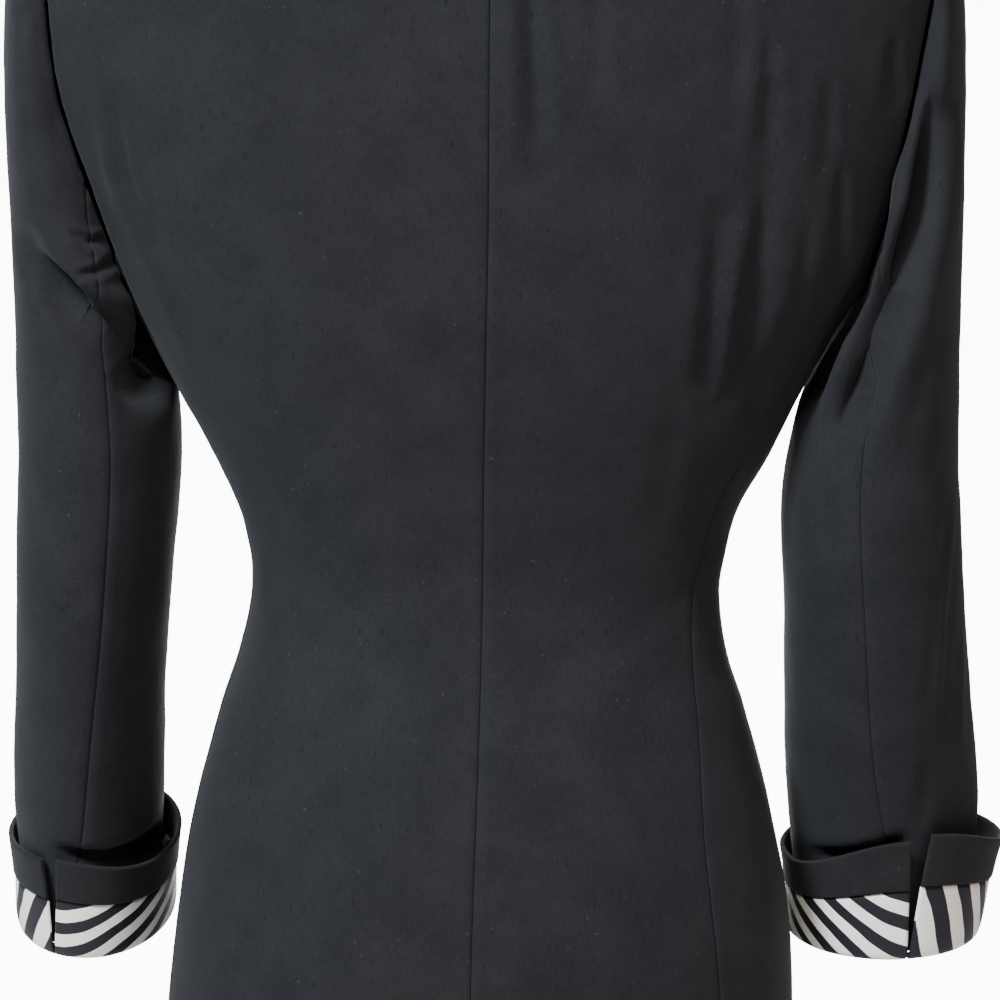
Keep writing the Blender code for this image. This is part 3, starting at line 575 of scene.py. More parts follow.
def pressed(side, point, turn, strength):
    table = SLEEVE_TABLES[side]
    middle = Vector((sign_of(side) * read_column(table, "across", point.z),
                     read_column(table, "forward", point.z), point.z))
    facing = ease(0.0, 0.4, math.cos(turn * 2 * math.pi))
    depth = fold_depth("sleeve_" + side, point.x, point.z) * facing * strength
    return point + (middle - point).normalized() * depth


def keep_clear(side, point, clearance):
    sign = sign_of(side)
    fullness = max(1 - (abs(point.y) / depth_over(point.y, point.z)) ** SQUARENESS, 0.0)
    least = half_over(sign, point.z) * fullness ** (1 / SQUARENESS) + clearance
    least -= max(point.z - UNDERARM, 0.0) * 3
    return Vector((sign * max(abs(point.x), least), point.y, point.z))


def back_seam_turn(side, level, table):
    if level <= 1:
        low = read_column(SEAM_TABLE, side, table["height"][-1])
        return mix(HEAD_SEAM_TURN, low, ease(0.0, 1.0, level))
    return read_column(SEAM_TABLE, side, mix(table["height"][-1], table["height"][0], level - 1))


# Materials
class Socket:
    """An output socket, with the arithmetic of its shader."""

    def __init__(self, finish, value):
        self.finish = finish
        self.value = value

    def maths(self, operation, *others):
        return self.finish.add("ShaderNodeMath", {"operation": operation}, (self, *others))

    def __add__(self, other):
        return self.maths("ADD", other)

    def __mul__(self, other):
        return self.maths("MULTIPLY", other)

    __radd__ = __add__
    __rmul__ = __mul__


class Finish:
    """One material and the nodes that are added to it."""

    def __init__(self, name):
        self.material = bpy.data.materials.new(name)
        self.material.use_nodes = True
        self.tree = self.material.node_tree

    def plug(self, sockets, key, value):
        value = value.value if isinstance(value, Socket) else value
        if isinstance(value, bpy.types.NodeSocket):
            self.tree.links.new(value, sockets[key])
        else:
            sockets[key].default_value = value

    def add(self, kind, settings=None, inputs=(), output=0):
        """A node with its settings, its inputs by place or name, and one of its outputs."""
        node = self.tree.nodes.new(kind)
        for key, value in (settings or {}).items():
            setattr(node, key, value)
        for key, value in inputs.items() if isinstance(inputs, dict) else enumerate(inputs):
            self.plug(node.inputs, key, value)
        return Socket(self, node.outputs[output])

    def place(self):
        return self.add("ShaderNodeTexCoord", output="Object")

    def noise(self, vector, scale, detail=3.0, rough=0.55):
        return self.add("ShaderNodeTexNoise", {}, {"Vector": vector, "Scale": scale,
                                                   "Detail": detail, "Roughness": rough})

    def stretched(self, vector, scale):
        return self.add("ShaderNodeMapping", {}, {"Vector": vector, "Scale": scale})

    def slubs(self, scale, detail):
        """Noise that is drawn out along the threads of the cloth."""
        threads = self.add("ShaderNodeUVMap", {"uv_map": "cloth"})
        return self.noise(self.stretched(threads, scale), 1.0, detail)

    def soft_step(self, value, low, high):
        return self.add("ShaderNodeMapRange", {"interpolation_type": "SMOOTHSTEP", "clamp": True},
                        {"Value": value, "From Min": low, "From Max": high})

    def blend(self, share, *colors):
        first, second = ((*c, 1.0) if isinstance(c, tuple) else c for c in colors)
        return self.add("ShaderNodeMix", {"data_type": "RGBA"}, {0: share, 6: first, 7: second}, 2)

    def bump(self, height, distance, strength):
        return self.add("ShaderNodeBump", {}, {"Height": height, "Distance": distance,
                                               "Strength": strength})

    def finished(self, values):
        """The material, with the values or links of its shader's own sockets."""
        for name, value in values.items():
            self.plug(self.tree.nodes["Principled BSDF"].inputs, name, value)
        return self.material


CREPE_SCALE = 900.0
SLUBS_UP = (900.0, 190.0, 1.0)
SLUBS_ACROSS = (160.0, 1100.0, 1.0)
FLECK_SCALE = (420.0, 150.0, 1.0)
FLECK_COLOR = (0.0032, 0.0032, 0.0036)
FIBRE_SCALE = 330.0
FIBRE_COLOR = (0.040, 0.038, 0.040)


def cloth_finish(name, dark, light):
    """Matt crepe: a fine pebbled weave, slubs along the threads, stray pale and dark fibres."""
    finish = Finish(name)
    place = finish.place()
    mottle = finish.noise(place, 34.0)
    crepe = finish.noise(place, CREPE_SCALE, 3.0, 0.6)
    slub_up = finish.slubs(SLUBS_UP, 2.0)
    slub_across = finish.slubs(SLUBS_ACROSS, 2.0)
    shade = 0.34 * mottle + 0.28 * slub_up + 0.16 * slub_across + 0.22 * crepe
    base = finish.blend(finish.soft_step(shade, 0.36, 0.64), dark, light)
    fleck = finish.soft_step(finish.slubs(FLECK_SCALE, 1.0), 0.66, 0.74)
    base = finish.blend(fleck * 0.55, base, FLECK_COLOR)
    fibre = finish.soft_step(finish.noise(place, FIBRE_SCALE, 1.0), 0.745, 0.80)
    base = finish.blend(fibre * 0.40, base, FIBRE_COLOR)
    weave = 0.55 * crepe + 0.3 * slub_up + 0.15 * slub_across
    return finish.finished({"Base Color": base, "Roughness": 0.80 + 0.16 * crepe,
                            "Specular IOR Level": 0.15, "Sheen Weight": 0.035,
                            "Sheen Roughness": 0.5, "Normal": finish.bump(weave, 0.00035, 0.7)})


WANDER_SCALE = 26.0
EDGE_SCALE = 420.0
SATIN_SCALE = 1500.0
CREAM = ((0.76, 0.69, 0.60), (0.88, 0.83, 0.75))
INK = ((0.0055, 0.0045, 0.0065), (0.0110, 0.0095, 0.0125))


def stripe_finish():
    """Cream satin with near-black wavering stripes. The UV map holds a stripe's phase and height."""
    finish = Finish("striped_facing")
    place = finish.place()
    map_uv = finish.add("ShaderNodeUVMap", {"uv_map": "cloth"})
    phase = finish.add("ShaderNodeSeparateXYZ", {}, (map_uv,))
    phase += 0.30 * finish.noise(place, WANDER_SCALE, 2.0)
    phase += 0.012 * finish.noise(place, EDGE_SCALE, 2.0)
    wave = (phase * (2 * math.pi)).maths("SINE")
    ink = finish.soft_step(wave + 0.5 * finish.noise(place, 55.0, 1.0), 0.17, 0.33)
    mottle = finish.noise(place, 300.0)
    base = finish.blend(ink, finish.blend(mottle, *CREAM), finish.blend(mottle, *INK))
    weave = finish.noise(place, SATIN_SCALE, 2.0)
    return finish.finished({"Base Color": base, "Roughness": 0.52 + 0.12 * mottle,
                            "Specular IOR Level": 0.22, "Sheen Weight": 0.05,
                            "Normal": finish.bump(weave, 0.0002, 0.35)})


def button_finish():
    finish = Finish("button_horn")
    cloud = finish.noise(finish.stretched(finish.place(), (1.0, 1.0, 3.0)), 160.0)
    return finish.finished({
        "Base Color": finish.blend(cloud, (0.006, 0.006, 0.007), (0.022, 0.020, 0.020)),
        "Roughness": 0.36 + 0.16 * cloud, "Specular IOR Level": 0.28,
        "Normal": finish.bump(cloud, 0.0001, 0.3)})


def thread_finish():
    finish = Finish("sewing_thread")
    ply = finish.noise(finish.place(), 2600.0, 2.0)
    return finish.finished({
        "Base Color": finish.blend(ply, (0.010, 0.010, 0.012), (0.030, 0.031, 0.035)),
        "Roughness": 0.55 + 0.2 * ply, "Normal": finish.bump(ply, 0.0001, 0.5)})


CLOTH_FINISH = cloth_finish("crepe_cloth", (0.0072, 0.0071, 0.0080), (0.0128, 0.0125, 0.0138))
BAND_FINISH = cloth_finish("cuff_band_cloth", (0.0074, 0.0070, 0.0074), (0.0128, 0.0120, 0.0126))
STRIPE_FINISH = stripe_finish()
BUTTON_FINISH = button_finish()
THREAD_FINISH = thread_finish()


# Creases, seams and the soft unevenness of the cloth
CREASE_REACH = 4
CREASE_WIDENS = (0.75, 1.2)
CREASE_FADE = 0.24
LIP_AWAY = 2.1
LIP_WIDTH = 1.1


def crease_height(piece, x, z):
    """How far the creases of a piece move its surface out, at a place seen from behind."""
    x, z = x * 1000, z * 1000
    total = 0.0
    for row in CREASES.get(piece, ()):
        crease = Crease(*row)
        reach = crease.width * CREASE_REACH
        xs, zs = zip(*crease.path)
        if not (min(xs) - reach < x < max(xs) + reach and min(zs) - reach < z < max(zs) + reach):
            continue
        steps = list(zip(crease.path, crease.path[1:]))
        spans = [math.dist(start, end) for start, end in steps]
        nearest = None
        done = 0.0
        for (start, end), span in zip(steps, spans):
            share, away_x, away_z = off_line(x, z, start, end)
            away = math.hypot(away_x, away_z)
            if nearest is None or away < nearest[0]:
                turn = (end[0] - start[0]) * away_z - (end[1] - start[1]) * away_x
                nearest = (away, turn, (done + share * span) / sum(spans))
            done += span
        away, turn, place = nearest
        width = crease.width * (crease.skew if turn < 0 else 1.0) * mix(*CREASE_WIDENS, place)
        taper = ease(0.0, CREASE_FADE, place) * (1 - ease(1 - CREASE_FADE, 1.0, place))
        trough = math.exp(-(away / width) ** 2)
        lip = crease.lip * math.exp(-((away - LIP_AWAY * width) / (LIP_WIDTH * width)) ** 2)
        total -= crease.depth * taper * (trough - lip)
    return total / 1000


UNEVEN = {"panel": 0.8, "sleeve": 1.1, "cuff": 0.7, "collar": 0.6, "lapel": 0.5}
# Slow waves of cloth that nobody has pressed flat: how many to a metre, where each starts, how high.
WAVES = ((26, (0, 0, 0), 0.00042), (60, (7, 3, 1), 0.00022), (150, (2, 9, 4), 0.00007))


def unevenness(point, strength):
    return strength * sum(height * noise.noise(point * scale + Vector(start))
                          for scale, start, height in WAVES)


PUCKER = 0.00026
PUCKER_REACH = 0.007
PUCKER_SCALE = Vector((30, 30, 190))


def pucker(point, away):
    """The small pull of the thread along a seam."""
    return PUCKER * noise.noise(point * PUCKER_SCALE) * math.exp(-(away / PUCKER_REACH) ** 2)


SEAM_DIP = 0.00035
SEAM_DIP_WIDTH = 0.0011
SEAM_ROLL = 0.00016
SEAM_ROLL_AWAY = 0.0045
SEAM_ROLL_WIDTH = 0.0022
EDGE_INSET = 0.0005
CUFF_INSET = 0.0006
LAPEL_INSET = 0.0004
SEWN_INSET = 0.00012
SEAM_REACH = 0.00022
ARMHOLE_REACH = 0.00060


def seam_height(point, away):
    dip = -SEAM_DIP * math.exp(-(away / SEAM_DIP_WIDTH) ** 2)
    roll = SEAM_ROLL * math.exp(-((away - SEAM_ROLL_AWAY) / SEAM_ROLL_WIDTH) ** 2)
    return dip + roll + pucker(point, away)


def grid_normals(rows, hand):
    result = []
    last = len(rows) - 1
    for i, row in enumerate(rows):
        above = rows[min(i + 1, last)]
        below = rows[max(i - 1, 0)]
        end = len(row) - 1
        result.append([(row[min(j + 1, end)] - row[max(j - 1, 0)]).cross(above[j] - below[j])
                       .normalized() * hand for j in range(len(row))])
    return result


def body_normals(rows):
    return [[body_normal(point) for point in row] for row in rows]


RESTS_ON = {"collar": ("back_left", "back_right")}
for one_side in ("left", "right"):
    RESTS_ON["lapel_" + one_side] = ("front_" + one_side,)
    RESTS_ON["cuff_facing_" + one_side] = RESTS_ON["cuff_band_" + one_side] = (
        "sleeve_upper_" + one_side,)


def declare_sheet(node, base):
    """Works out the piece's smooth base laid flat: its longest row and column, and its area. The
    values are not kept.
    """
    width = max(distances[-1][0] for distances in map(row_distances, base))
    length = max(distances[-1][0] for distances in map(row_distances, zip(*base)))
    area = 0.0
    for low, high in zip(base, base[1:]):
        for a, b, c, d in zip(low, low[1:], high[1:], high):
            area += (c - a).cross(d - b).length / 2
    held = "folded" if node in RESTS_ON else "hung"
    min(area, width * length)


def even(kind):
    """The lift of a piece with no seam or crease of its own."""
    return lambda j, level, point, first, last: unevenness(point, UNEVEN[kind])


def cloth_piece(node, base, normals, lift, material=CLOTH_FINISH, slot="cloth", thickness=CLOTH,
                inset=EDGE_INSET, uv=None, sewn=()):
    """A closed thin shell from rows of points, lifted along their normals. Free edges are softly
    rounded, and sewn ones (first, last, low or high) reach over half of the seam's gap."""
    outer = [[point + normal * lift(j, i, point, *ends)
              for j, (point, normal, ends) in enumerate(zip(row, line, row_distances(row)))]
             for i, (row, line) in enumerate(zip(base, normals))]
    rows = len(outer)
    columns = len(outer[0])
    seam_reach = ARMHOLE_REACH if "sleeve" in node else SEAM_REACH
    verts = []
    faces = []
    place = {}

    def add(layer, i, j, point):
        place[layer, i, j] = len(verts)
        verts.append(point)

    def face(*corners):
        faces.append([place[corner] for corner in corners])

    for i in range(rows):
        for j in range(columns):
            point = outer[i][j]
            normal = normals[i][j]
            rim = i in (0, rows - 1) or j in (0, columns - 1)
            pull = Vector((0, 0, 0))
            reach = Vector((0, 0, 0))
            for edge, here, (m, n) in (("first", j == 0, (i, 1)), ("last", j == columns - 1, (i, -2)),
                                       ("low", i == 0, (1, j)), ("high", i == rows - 1, (-2, j))):
                if here:
                    inward = (outer[m][n] - point).normalized()
                    pull += inward * (SEWN_INSET if edge in sewn else inset)
                    reach -= inward * (seam_reach if edge in sewn else 0.0)
            drop = normal * inset * 0.5 if rim else Vector((0, 0, 0))
            add("front", i, j, point + pull - drop)
            add("rear", i, j, point - normal * thickness + pull + drop)
            if rim:
                add("rim", i, j, point - normal * thickness / 2 + reach)
    for i in range(rows - 1):
        for j in range(columns - 1):
            face(("front", i, j), ("front", i, j + 1), ("front", i + 1, j + 1), ("front", i + 1, j))
            face(("rear", i, j), ("rear", i + 1, j), ("rear", i + 1, j + 1), ("rear", i, j + 1))
    edge = [(0, j) for j in range(columns)] + [(i, columns - 1) for i in range(1, rows)]
    edge += [(rows - 1, j) for j in range(columns - 2, -1, -1)]
    edge += [(i, 0) for i in range(rows - 2, 0, -1)]
    for (i, j), (m, n) in zip(edge, edge[1:] + edge[:1]):
        face(("front", i, j), ("rim", i, j), ("rim", m, n), ("front", m, n))
        face(("rim", i, j), ("rear", i, j), ("rear", m, n), ("rim", m, n))
    mesh = bpy.data.meshes.new(node + "_cloth")
    mesh.from_pydata(verts, [], faces)
    shape = bmesh.new()
    shape.from_mesh(mesh)
    bmesh.ops.recalc_face_normals(shape, faces=shape.faces)
    if shape.calc_volume(signed=True) < 0:
        bmesh.ops.reverse_faces(shape, faces=shape.faces)
    layer = shape.loops.layers.uv.new("cloth")
    shape.verts.ensure_lookup_table()
    if uv is None:
        rise = row_distances([row[columns // 2] for row in outer])
        uv = [[(across, up) for across, rest in row_distances(row)]
              for row, (up, left) in zip(outer, rise)]
    flat = {index: uv[i][j] for (kind, i, j), index in place.items()}
    for polygon in shape.faces:
        for corner in polygon.loops:
            corner[layer].uv = flat[corner.vert.index]
    shape.to_mesh(mesh)
    shape.free()
    mesh.shade_smooth()
    mesh.materials.append(material)
    piece = bpy.data.objects.new(node + "_cloth", mesh)
    bpy.context.scene.collection.objects.link(piece)
    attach(piece, "root")
    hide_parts(node)
    declare_sheet(node, base)


# Pieces
HEM_EDGE = 0.0015
HEM_TURN = 0.004
PANEL_STEP = 0.0032
SIDE_STEP = 0.0046
SHOULDER_ROWS = 34
HEAD_ROWS = 76
ARM_ROWS = 84
CUFF_COLUMNS = 150
LAPEL_ROWS = 90
BACK_LINES = 96
FRONT_LINES = 60
SIDE_LINES = 34
LAPEL_LINES = 34
SLEEVE_LINES = {"upper": 96, "under": 64}
CUFF_ROWS = {"facing": 26, "band": 16}
COLLAR_STATIONS = 33


def hem_rows(low, high, step):
    """Heights up a panel, with two close rows over the hem."""
    count = int((high - low - HEM_TURN) / step)
    return [low, low + HEM_EDGE] + spread(count, low + HEM_TURN, high)


def make_panel(side, facing, lines):
    node = ("back_" if facing > 0 else "front_") + side
    shares = edged(lines)
    rows = []
    for z in hem_rows(HEM, YOKE, PANEL_STEP):
        row = []
        for share in shares:
            level = z
            if facing < 0:
                inset = abs(panel_point(side, share, z, facing).x - inner_x(side, z, facing))
                level += corner_lift(inset) * (1 - ease(HEM, CORNER_FADE, z))
            row.append(panel_point(side, share, level, facing))
        rows.append(row)
    for climb in edged(SHOULDER_ROWS, 0.5)[1:]:
        rows.append([upper_point(side, share, climb, facing) for share in shares])

    def lift(j, level, point, first, last):
        out = unevenness(point, UNEVEN["panel"]) + crease_height(node, point.x, point.z)
        out -= fold_depth(node, point.x, point.z) + inset_for_overlap(side, point)
        out += seam_height(point, last)
        if facing > 0:
            out += seam_height(point, first)
        return out + seam_height(point, (rows[-1][j] - point).length)

    cloth_piece(node, rows, body_normals(rows), lift,
                sewn=("first", "last") if facing > 0 else ("last",))


def make_side(side):
    node = "side_" + side
    shares = edged(SIDE_LINES)
    rows = [[side_point(side, share, z) for share in shares]
            for z in hem_rows(HEM, SIDE_TOP, SIDE_STEP)]
    for rise in spread(6)[1:]:
        rows.append([side_point(side, share, mix(SIDE_TOP, underarm_height(share), rise))
                     for share in shares])

    def lift(j, level, point, first, last):
        out = unevenness(point, UNEVEN["panel"]) + crease_height(node, point.x, point.z)
        return out + seam_height(point, first) + seam_height(point, last)

    cloth_piece(node, rows, body_normals(rows), lift, sewn=("first", "last"))


def make_sleeve(side, kind):
    loop = armhole_loop(side)
    table = SLEEVE_TABLES[side]
    gap = SEAM_GAP / ROUND_SLEEVE
    levels = [t ** HEAD_CROWD for t in spread(HEAD_ROWS)]
    levels += spread(ARM_ROWS, 1.0, 2.0)[1:-1] + [LAST_LEVEL, 2.0]
    top, foot = table["height"][-1], table["height"][0]
    rows = []
    turns_of = []
    for level in levels:
        seam = back_seam_turn(side, level, table)
        ends = (seam + gap, FRONT_SEAM_TURN - gap) if kind == "upper" else (
            FRONT_SEAM_TURN + gap, 1 + seam - gap)
        turns = [mix(*ends, t) for t in edged(SLEEVE_LINES[kind], 0.6)]
        turns_of.append(turns)
        if level <= 1:
            rows.append([head_point(side, head_base(side, loop, turn), turn, level)
                         for turn in turns])
        else:
            z = mix(top, foot, level - 1)
            ring = [pressed(side, ring_point(table, side, z, turn), turn, 1.0) for turn in turns]
            rows.append([keep_clear(side, point, SLEEVE_CLEAR) for point in ring])

    def lift(j, level, point, first, last):
        back = math.cos(turns_of[level][j] * 2 * math.pi)
        out = 0.0
        for face, toward in (("back", back), ("front", -back)):
            creases = crease_height("sleeve_%s:%s" % (side, face), point.x, point.z)
            out += creases * ease(*FACES_VIEW, toward)
        out = (out + unevenness(point, UNEVEN["sleeve"])) * ease(0.0, 0.10, levels[level])
        head = (rows[0][j] - point).length
        return out + (seam_height(point, first) + seam_height(point, last)
                      + HEAD_SEAM * seam_height(point, head))

    cloth_piece("sleeve_%s_%s" % (kind, side), rows, grid_normals(rows, sign_of(side)), lift,
                sewn=("first", "last", "low"))


def curve_through(points, count):
    """Points of a smooth curve through the given ones."""
    last = len(points) - 1
    result = []
    for t in spread(count, 0.0, last):
        i = min(int(t), last - 1)
        s = t - i
        a, b, c, d = (points[min(max(k, 0), last)] for k in range(i - 1, i + 3))
        result.append(0.5 * (2 * b + (c - a) * s + (2 * a - 5 * b + 4 * c - d) * s ** 2
                             + (3 * b - a - 3 * c + d) * s ** 3))
    return result


def finer(rows, times):
    """A grid with more points across each row."""
    return [curve_through(row, (len(row) - 1) * times + 1) for row in rows]


STRIPE_PITCH = 0.0122
STRIPE_SIDE_PITCH = {"left": 0.0165, "right": 0.0180}
STRIPE_BEND = 0.046
STRIPE_RUN = 0.024
STRIPE_START = {"left": 0.02, "right": 0.20}
STRIPE_TURN = {"left": 58.0, "right": 62.0}
STRIPE_CHANGE = (0.34, 0.66)


def stripe_place(side, from_split, to_split, up):
    """The stripe's phase: curving away from one end of the split, standing up at the other."""
    near = min(to_split, STRIPE_RUN)
    rise = to_split * STRIPE_START[side] + near ** 2 / (2 * STRIPE_BEND)
    rise += max(to_split - STRIPE_RUN, 0.0) * STRIPE_RUN / STRIPE_BEND
    level = (up - rise) / STRIPE_PITCH
    turn = math.radians(STRIPE_TURN[side])
    upright = (from_split * math.sin(turn) + up * math.cos(turn)) / STRIPE_SIDE_PITCH[side]
    return mix(upright, level, ease(*STRIPE_CHANGE, from_split / (from_split + to_split)))


SINK_START = (0.48, 0.74)
SINK_END = (0.80, 1.0)


def make_cuff_piece(kind, side, section, **finish):
    table = SLEEVE_TABLES[side]
    foot = table["height"][0]
    split = SPLIT_TURN[side]
    outer_end, inner_end = SPLIT_LIFT[side]
    rows = []
    stripes = []
    points = [Vector((*place, 0)) for place in section]
    for out, up, flat in curve_through(points, CUFF_ROWS[kind]):
        share = max(up, 0.0) / BAND_SECTION[-1][1]
        half_gap = mix(SPLIT_HALF_FOOT, SPLIT_HALF_TOP, share) / ROUND_CUFF
        shift = Vector((sign_of(side) * RIM_SHIFT[side] * share, 0, 0))
        row = []
        for place in edged(CUFF_COLUMNS, 0.5):
            turn = mix(split + half_gap, split + 1 - half_gap, place)
            lift = outer_end * (1 - ease(0.0, SPLIT_LIFT_REACH, place))
            lift += inner_end * ease(1 - SPLIT_LIFT_REACH, 1.0, place)
            lift -= INNER_SINK[side] * ease(*SINK_START, place) * (1 - ease(*SINK_END, place))
            row.append(ring_point(table, side, foot, turn, out * mix(1.0, FLARE[side], share),
                                  up + lift * share) + shift)
        rows.append(row)
        stripes.append([(stripe_place(side, *ends, up), up) for ends in row_distances(row)])
    striped = kind == "facing"
    cloth_piece("cuff_%s_%s" % (kind, side), rows, grid_normals(rows, -sign_of(side)), even("cuff"),
                inset=CUFF_INSET, uv=stripes if striped else None,
                sewn=("high",) if striped else ("low",), **finish)


def neckline(share):
    sign = 1 if share > 0 else -1
    place = abs(share)
    if place <= NECK_TURN:
        x = sign * NECK_HALF * math.sin(place / NECK_TURN * math.pi / 2)
        z = top_height(x, 1)
        return Vector((x, body_depth(x, z, 1), z))
    z = mix(NECK_SIDE, COLLAR_END, (place - NECK_TURN) / (1 - NECK_TURN))
    x = sign * abs(inner_x("left", z, -1))
    return Vector((x, body_depth(x, z, -1), z))


def surface_over(x, y):
    fullness = 1 - (abs(x) / half_over(x, YOKE)) ** SQUARENESS
    depth = depth_over(y, YOKE)
    rise = max(1 - (abs(y) / depth) ** SQUARENESS / fullness, 0.0) ** (1 / SHOULDER_ROUND)
    return Vector((x, y, mix(YOKE, ridge_height(x), rise)))


def make_collar():
    """Stand and fall in one sheet, turned over at the top."""
    stations = []
    for station in spread(COLLAR_STATIONS, -1.0, 1.0):
        seam = neckline(station)
        front = ease(NECK_TURN, NECK_TURN + 0.2, abs(station))
        stand = mix(1.0, COLLAR_FRONT_STAND, ease(NECK_TURN - 0.1, 1.0, abs(station)))
        run = neckline(min(station + COLLAR_STEP, 1.0)) - neckline(max(station - COLLAR_STEP, -1.0))
        run.z = 0
        outward = run.normalized().cross(Vector((0, 0, 1)))
        if outward.dot(Vector((seam.x, seam.y + 0.02, 0))) < 0:
            outward = -outward
        row = [seam + outward * out * mix(1.0, 0.5, front) + Vector((0, 0, up * stand + LAY_GAP))
               for out, up in COLLAR_STAND]
        for reach in COLLAR_FALL:
            place = seam + outward * reach
            resting = surface_over(place.x, place.y)
            x = seam.x + math.copysign(reach, seam.x)
            z = min(seam.z - GORGE_SLOPE * reach, ridge_height(x) - 0.001)
            resting = resting.lerp(Vector((x, body_depth(x, z, -1), z)), front)
            row.append(resting + body_normal(resting) * (CLOTH + COLLAR_LIFT))
        stations.append(row)
    fine = finer(zip(*finer(zip(*stations), 3)), 5)
    cloth_piece("collar", fine, grid_normals(fine, 1), even("collar"))


def make_lapel(side):
    sign = sign_of(side)
    foot = LAPEL_FOOT[side]
    rows = []
    for z in spread(LAPEL_ROWS, foot, LAPEL_TOP):
        climb = (z - foot) / (LAPEL_TOP - foot)
        roll = inner_x("left", z, -1) + LAPEL_TURN
        width = mix(LAPEL_FOOT_WIDTH, LAPEL_WIDTH, climb ** 0.9)
        row = []
        for share in edged(LAPEL_LINES, 0.5):
            x = sign * (roll + width * share)
            height = z - GORGE_SLOPE * width * share * climb ** 3
            point = Vector((x, body_depth(x, height, -1), height))
            swell = LAPEL_ROLL * math.sin(math.pi * min(share * 1.5, 1.0))
            row.append(point + body_normal(point) * (LAY_GAP + CLOTH + swell))
        rows.append(row)
    cloth_piece("lapel_" + side, rows, grid_normals(rows, sign), even("lapel"), thickness=LAPEL_CLOTH,
                inset=LAPEL_INSET)


for one_side in ("left", "right"):
    make_panel(one_side, 1, BACK_LINES)
    make_panel(one_side, -1, FRONT_LINES)
    make_side(one_side)
    make_sleeve(one_side, "upper")
    make_sleeve(one_side, "under")
    make_cuff_piece("facing", one_side, FACING_SECTION, material=STRIPE_FINISH, slot="facing")
    make_cuff_piece("band", one_side, BAND_SECTION, material=BAND_FINISH, thickness=BAND_CLOTH)
    make_lapel(one_side)
make_collar()

DISH_RIM = 0.0026
DISH_DEPTH = 0.0010
HOLE_RADIUS = 0.0010
HOLE_OUT = 0.0017
THREAD_RADIUS = 0.00028
RIM_ROUND = 0.0005
SHANK_SUNK = 0.0004
THREAD_SUNK = 0.0010


def add_cylinder(radius, low, high, place=(0.0, 0.0), sides=48):
    bpy.ops.mesh.primitive_cylinder_add(vertices=sides, radius=radius, depth=high - low,
                                        location=(place[0], place[1], (low + high) / 2))
    return bpy.context.active_object


def select_only(*pieces):
    bpy.ops.object.select_all(action="DESELECT")
    for piece in pieces:
        piece.select_set(True)
        bpy.context.view_layer.objects.active = pieces[0]


def join(*pieces):
    select_only(*pieces)
    bpy.ops.object.join()
    return pieces[0]


def make_button(name, height):
    """A dished button with a rounded rim, four holes and its thread, on a short shank."""
    select_only()
    button = add_cylinder(BUTTON_RADIUS, SHANK_HEIGHT, BUTTON_THICK, sides=72)
    bpy.ops.object.mode_set(mode="EDIT")
    bpy.ops.mesh.select_mode(type="FACE")
    bpy.ops.mesh.select_all(action="DESELECT")
    shape = bmesh.from_edit_mesh(button.data)
    max(shape.faces, key=lambda face: face.calc_center_median().z).select_set(True)
    bmesh.update_edit_mesh(button.data)
    bpy.ops.mesh.inset(thickness=DISH_RIM)
    bpy.ops.transform.translate(value=(0, 0, -DISH_DEPTH))
    bpy.ops.object.mode_set(mode="OBJECT")
    bevel = button.modifiers.new("rim", "BEVEL")
    bevel.width = RIM_ROUND
    bevel.segments = 3
    bevel.limit_method = "ANGLE"
    bevel.angle_limit = math.radians(20)
    bpy.ops.object.modifier_apply(modifier="rim")
    places = [(x * HOLE_OUT, y * HOLE_OUT) for x, y in ((1, 1), (1, -1), (-1, -1), (-1, 1))]
    cutter = join(*[add_cylinder(HOLE_RADIUS, 0.0, BUTTON_THICK, place, 24) for place in places])
    holes = button.modifiers.new("holes", "BOOLEAN")
    holes.operation = "DIFFERENCE"
    holes.solver = "EXACT"
    holes.object = cutter
    select_only(button)
    bpy.ops.object.modifier_apply(modifier="holes")
    bpy.data.objects.remove(cutter)
    button.data.materials.append(BUTTON_FINISH)
    threads = [add_cylinder(SHANK_RADIUS, 0.0, SHANK_HEIGHT + SHANK_SUNK)]
    for y in (-HOLE_OUT, HOLE_OUT):
        for step in (-1, 0, 1):
            bpy.ops.mesh.primitive_torus_add(
                location=(0, y + step * THREAD_RADIUS * 1.9,
                          BUTTON_THICK - DISH_DEPTH - THREAD_SUNK),
                rotation=(math.pi / 2, 0, 0), major_segments=28, minor_segments=10,
                major_radius=HOLE_OUT, minor_radius=THREAD_RADIUS)
            threads.append(bpy.context.active_object)
    for thread in threads:
        thread.data.materials.append(THREAD_FINISH)
    join(button, *threads)
    surface = Vector((0.0, body_depth(0.0, height, -1), height))
    normal = body_normal(surface)
    button.rotation_euler = normal.to_track_quat("Z", "Y").to_euler()
    button.location = surface + normal * BUTTON_STANDOFF
    bpy.ops.object.transform_apply(location=True, rotation=True, scale=True)
    bpy.ops.object.shade_smooth_by_angle(angle=math.radians(30))
    node = "button_" + name
    button.name = node + "_horn"
    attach(button, "root")
    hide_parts(node)


for button_name, button_height in BUTTON_HEIGHTS.items():
    make_button(button_name, button_height)


# Floor, light and camera
FLOOR_HEIGHT = -1.95
FLOOR_COLOR = (0.86, 0.86, 0.86)
FLOOR_GRAIN = 0.985


def floor_finish():
    finish = Finish("pale_floor")
    grain = finish.noise(finish.place(), 3.0, 2.0)
    low = tuple(c * FLOOR_GRAIN for c in FLOOR_COLOR)
    return finish.finished({"Base Color": finish.blend(grain, low, FLOOR_COLOR), "Roughness": 0.9,
                            "Specular IOR Level": 0.1})


def paper_finish():
    return Finish("lit_paper").finished({
        "Base Color": (0.9, 0.9, 0.9, 1.0), "Emission Color": (1.0, 1.0, 1.0, 1.0),
        "Emission Strength": 10.0})


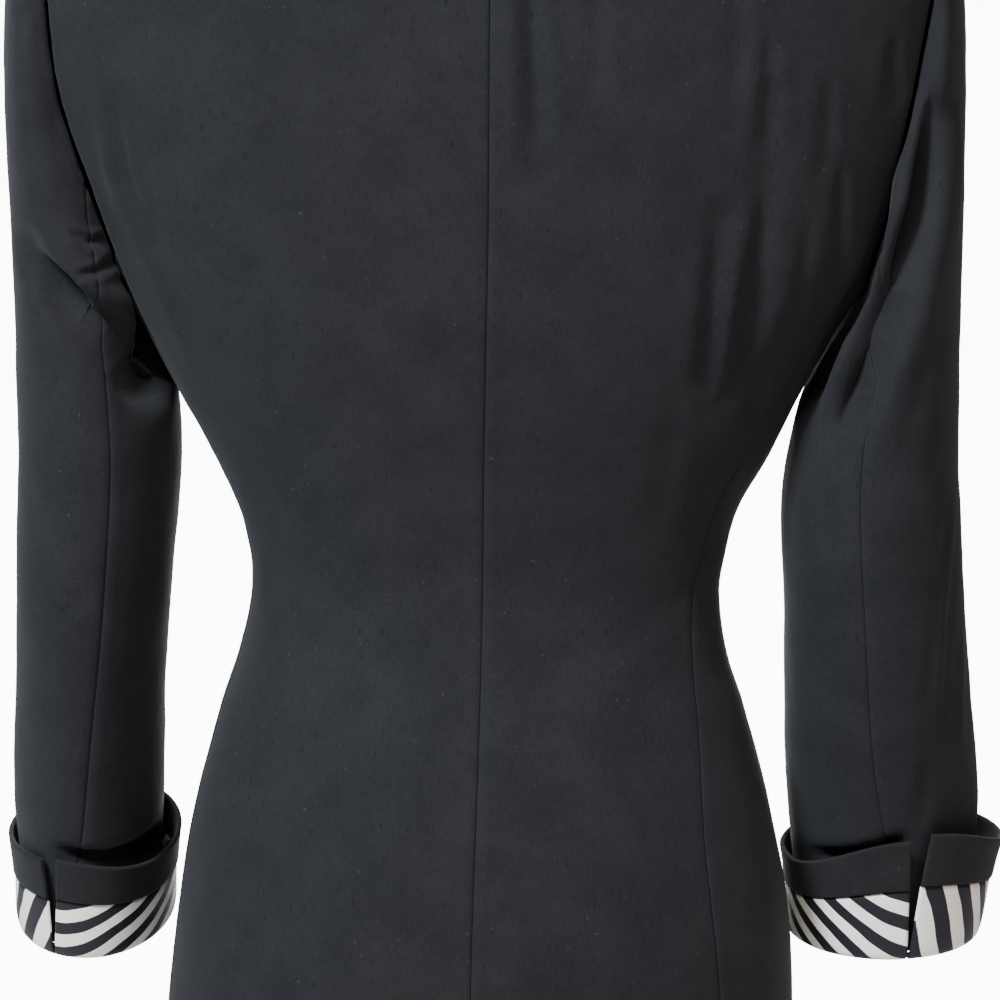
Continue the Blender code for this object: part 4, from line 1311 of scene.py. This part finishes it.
def add_stage(name, size, place, turn, material):
    select_only()
    bpy.ops.mesh.primitive_plane_add(size=size, location=place, rotation=turn)
    plane = bpy.context.active_object
    plane.name = name
    plane.data.materials.append(material)


def area_light(name, place, target, size, power, color):
    light = bpy.data.lights.new(name, "AREA")
    light.shape = "SQUARE"
    light.size = size
    light.energy = power
    light.color = color
    lamp = bpy.data.objects.new(name, light)
    lamp.location = place
    lamp.rotation_euler = (Vector(target) - Vector(place)).to_track_quat("-Z", "Y").to_euler()
    bpy.context.scene.collection.objects.link(lamp)


# Each light: its name, its place, the point that it faces, its size, its power in watts, its color.
LIGHTS = (
    ("cool_window", (1.9, 2.7, 2.8), (0, 0, -0.35), 0.9, 540.0, (0.77, 0.88, 1.0)),
    ("warm_lamp", (-2.4, 2.6, 0.9), (0, 0, -0.4), 0.9, 36.0, (1.0, 0.64, 0.52)),
    ("top_soft", (0.3, 2.4, 2.4), (0, 0, -0.3), 1.2, 70.0, (1.0, 0.96, 0.94)),
    ("front_soft", (1.2, -2.8, 1.6), (0, 0, -0.3), 1.6, 120.0, (1.0, 0.99, 0.97)),
)
add_stage("floor", 14.0, (0, 0, FLOOR_HEIGHT), (0, 0, 0), floor_finish())
add_stage("backdrop", 3.0, (0.2, -4.6, -1.0), (math.pi / 2, 0, math.pi), paper_finish())
for one_light in LIGHTS:
    area_light(*one_light)


world = bpy.data.worlds.new("studio")
bpy.context.scene.world = world
world.use_nodes = True
background = world.node_tree.nodes["Background"].inputs
background["Color"].default_value = (0.96, 0.98, 1.0, 1.0)
background["Strength"].default_value = 0.12

AZIMUTH = math.radians(183)
ELEVATION = math.radians(8)
DISTANCE = 2.2
TARGET = Vector((-0.0075, 0.0, -0.355))
FRAME_WIDTH = 0.5
SENSOR = 36.0
camera_data = bpy.data.cameras.new("camera")
camera_data.sensor_width = SENSOR
camera_data.lens = SENSOR * DISTANCE / FRAME_WIDTH
camera = bpy.data.objects.new("camera", camera_data)
toward = Vector((math.sin(AZIMUTH) * math.cos(ELEVATION), -math.cos(AZIMUTH) * math.cos(ELEVATION),
                 math.sin(ELEVATION)))
camera.location = TARGET + toward * DISTANCE
camera.rotation_euler = (-toward).to_track_quat("-Z", "Y").to_euler()
bpy.context.scene.collection.objects.link(camera)
bpy.context.scene.camera = camera
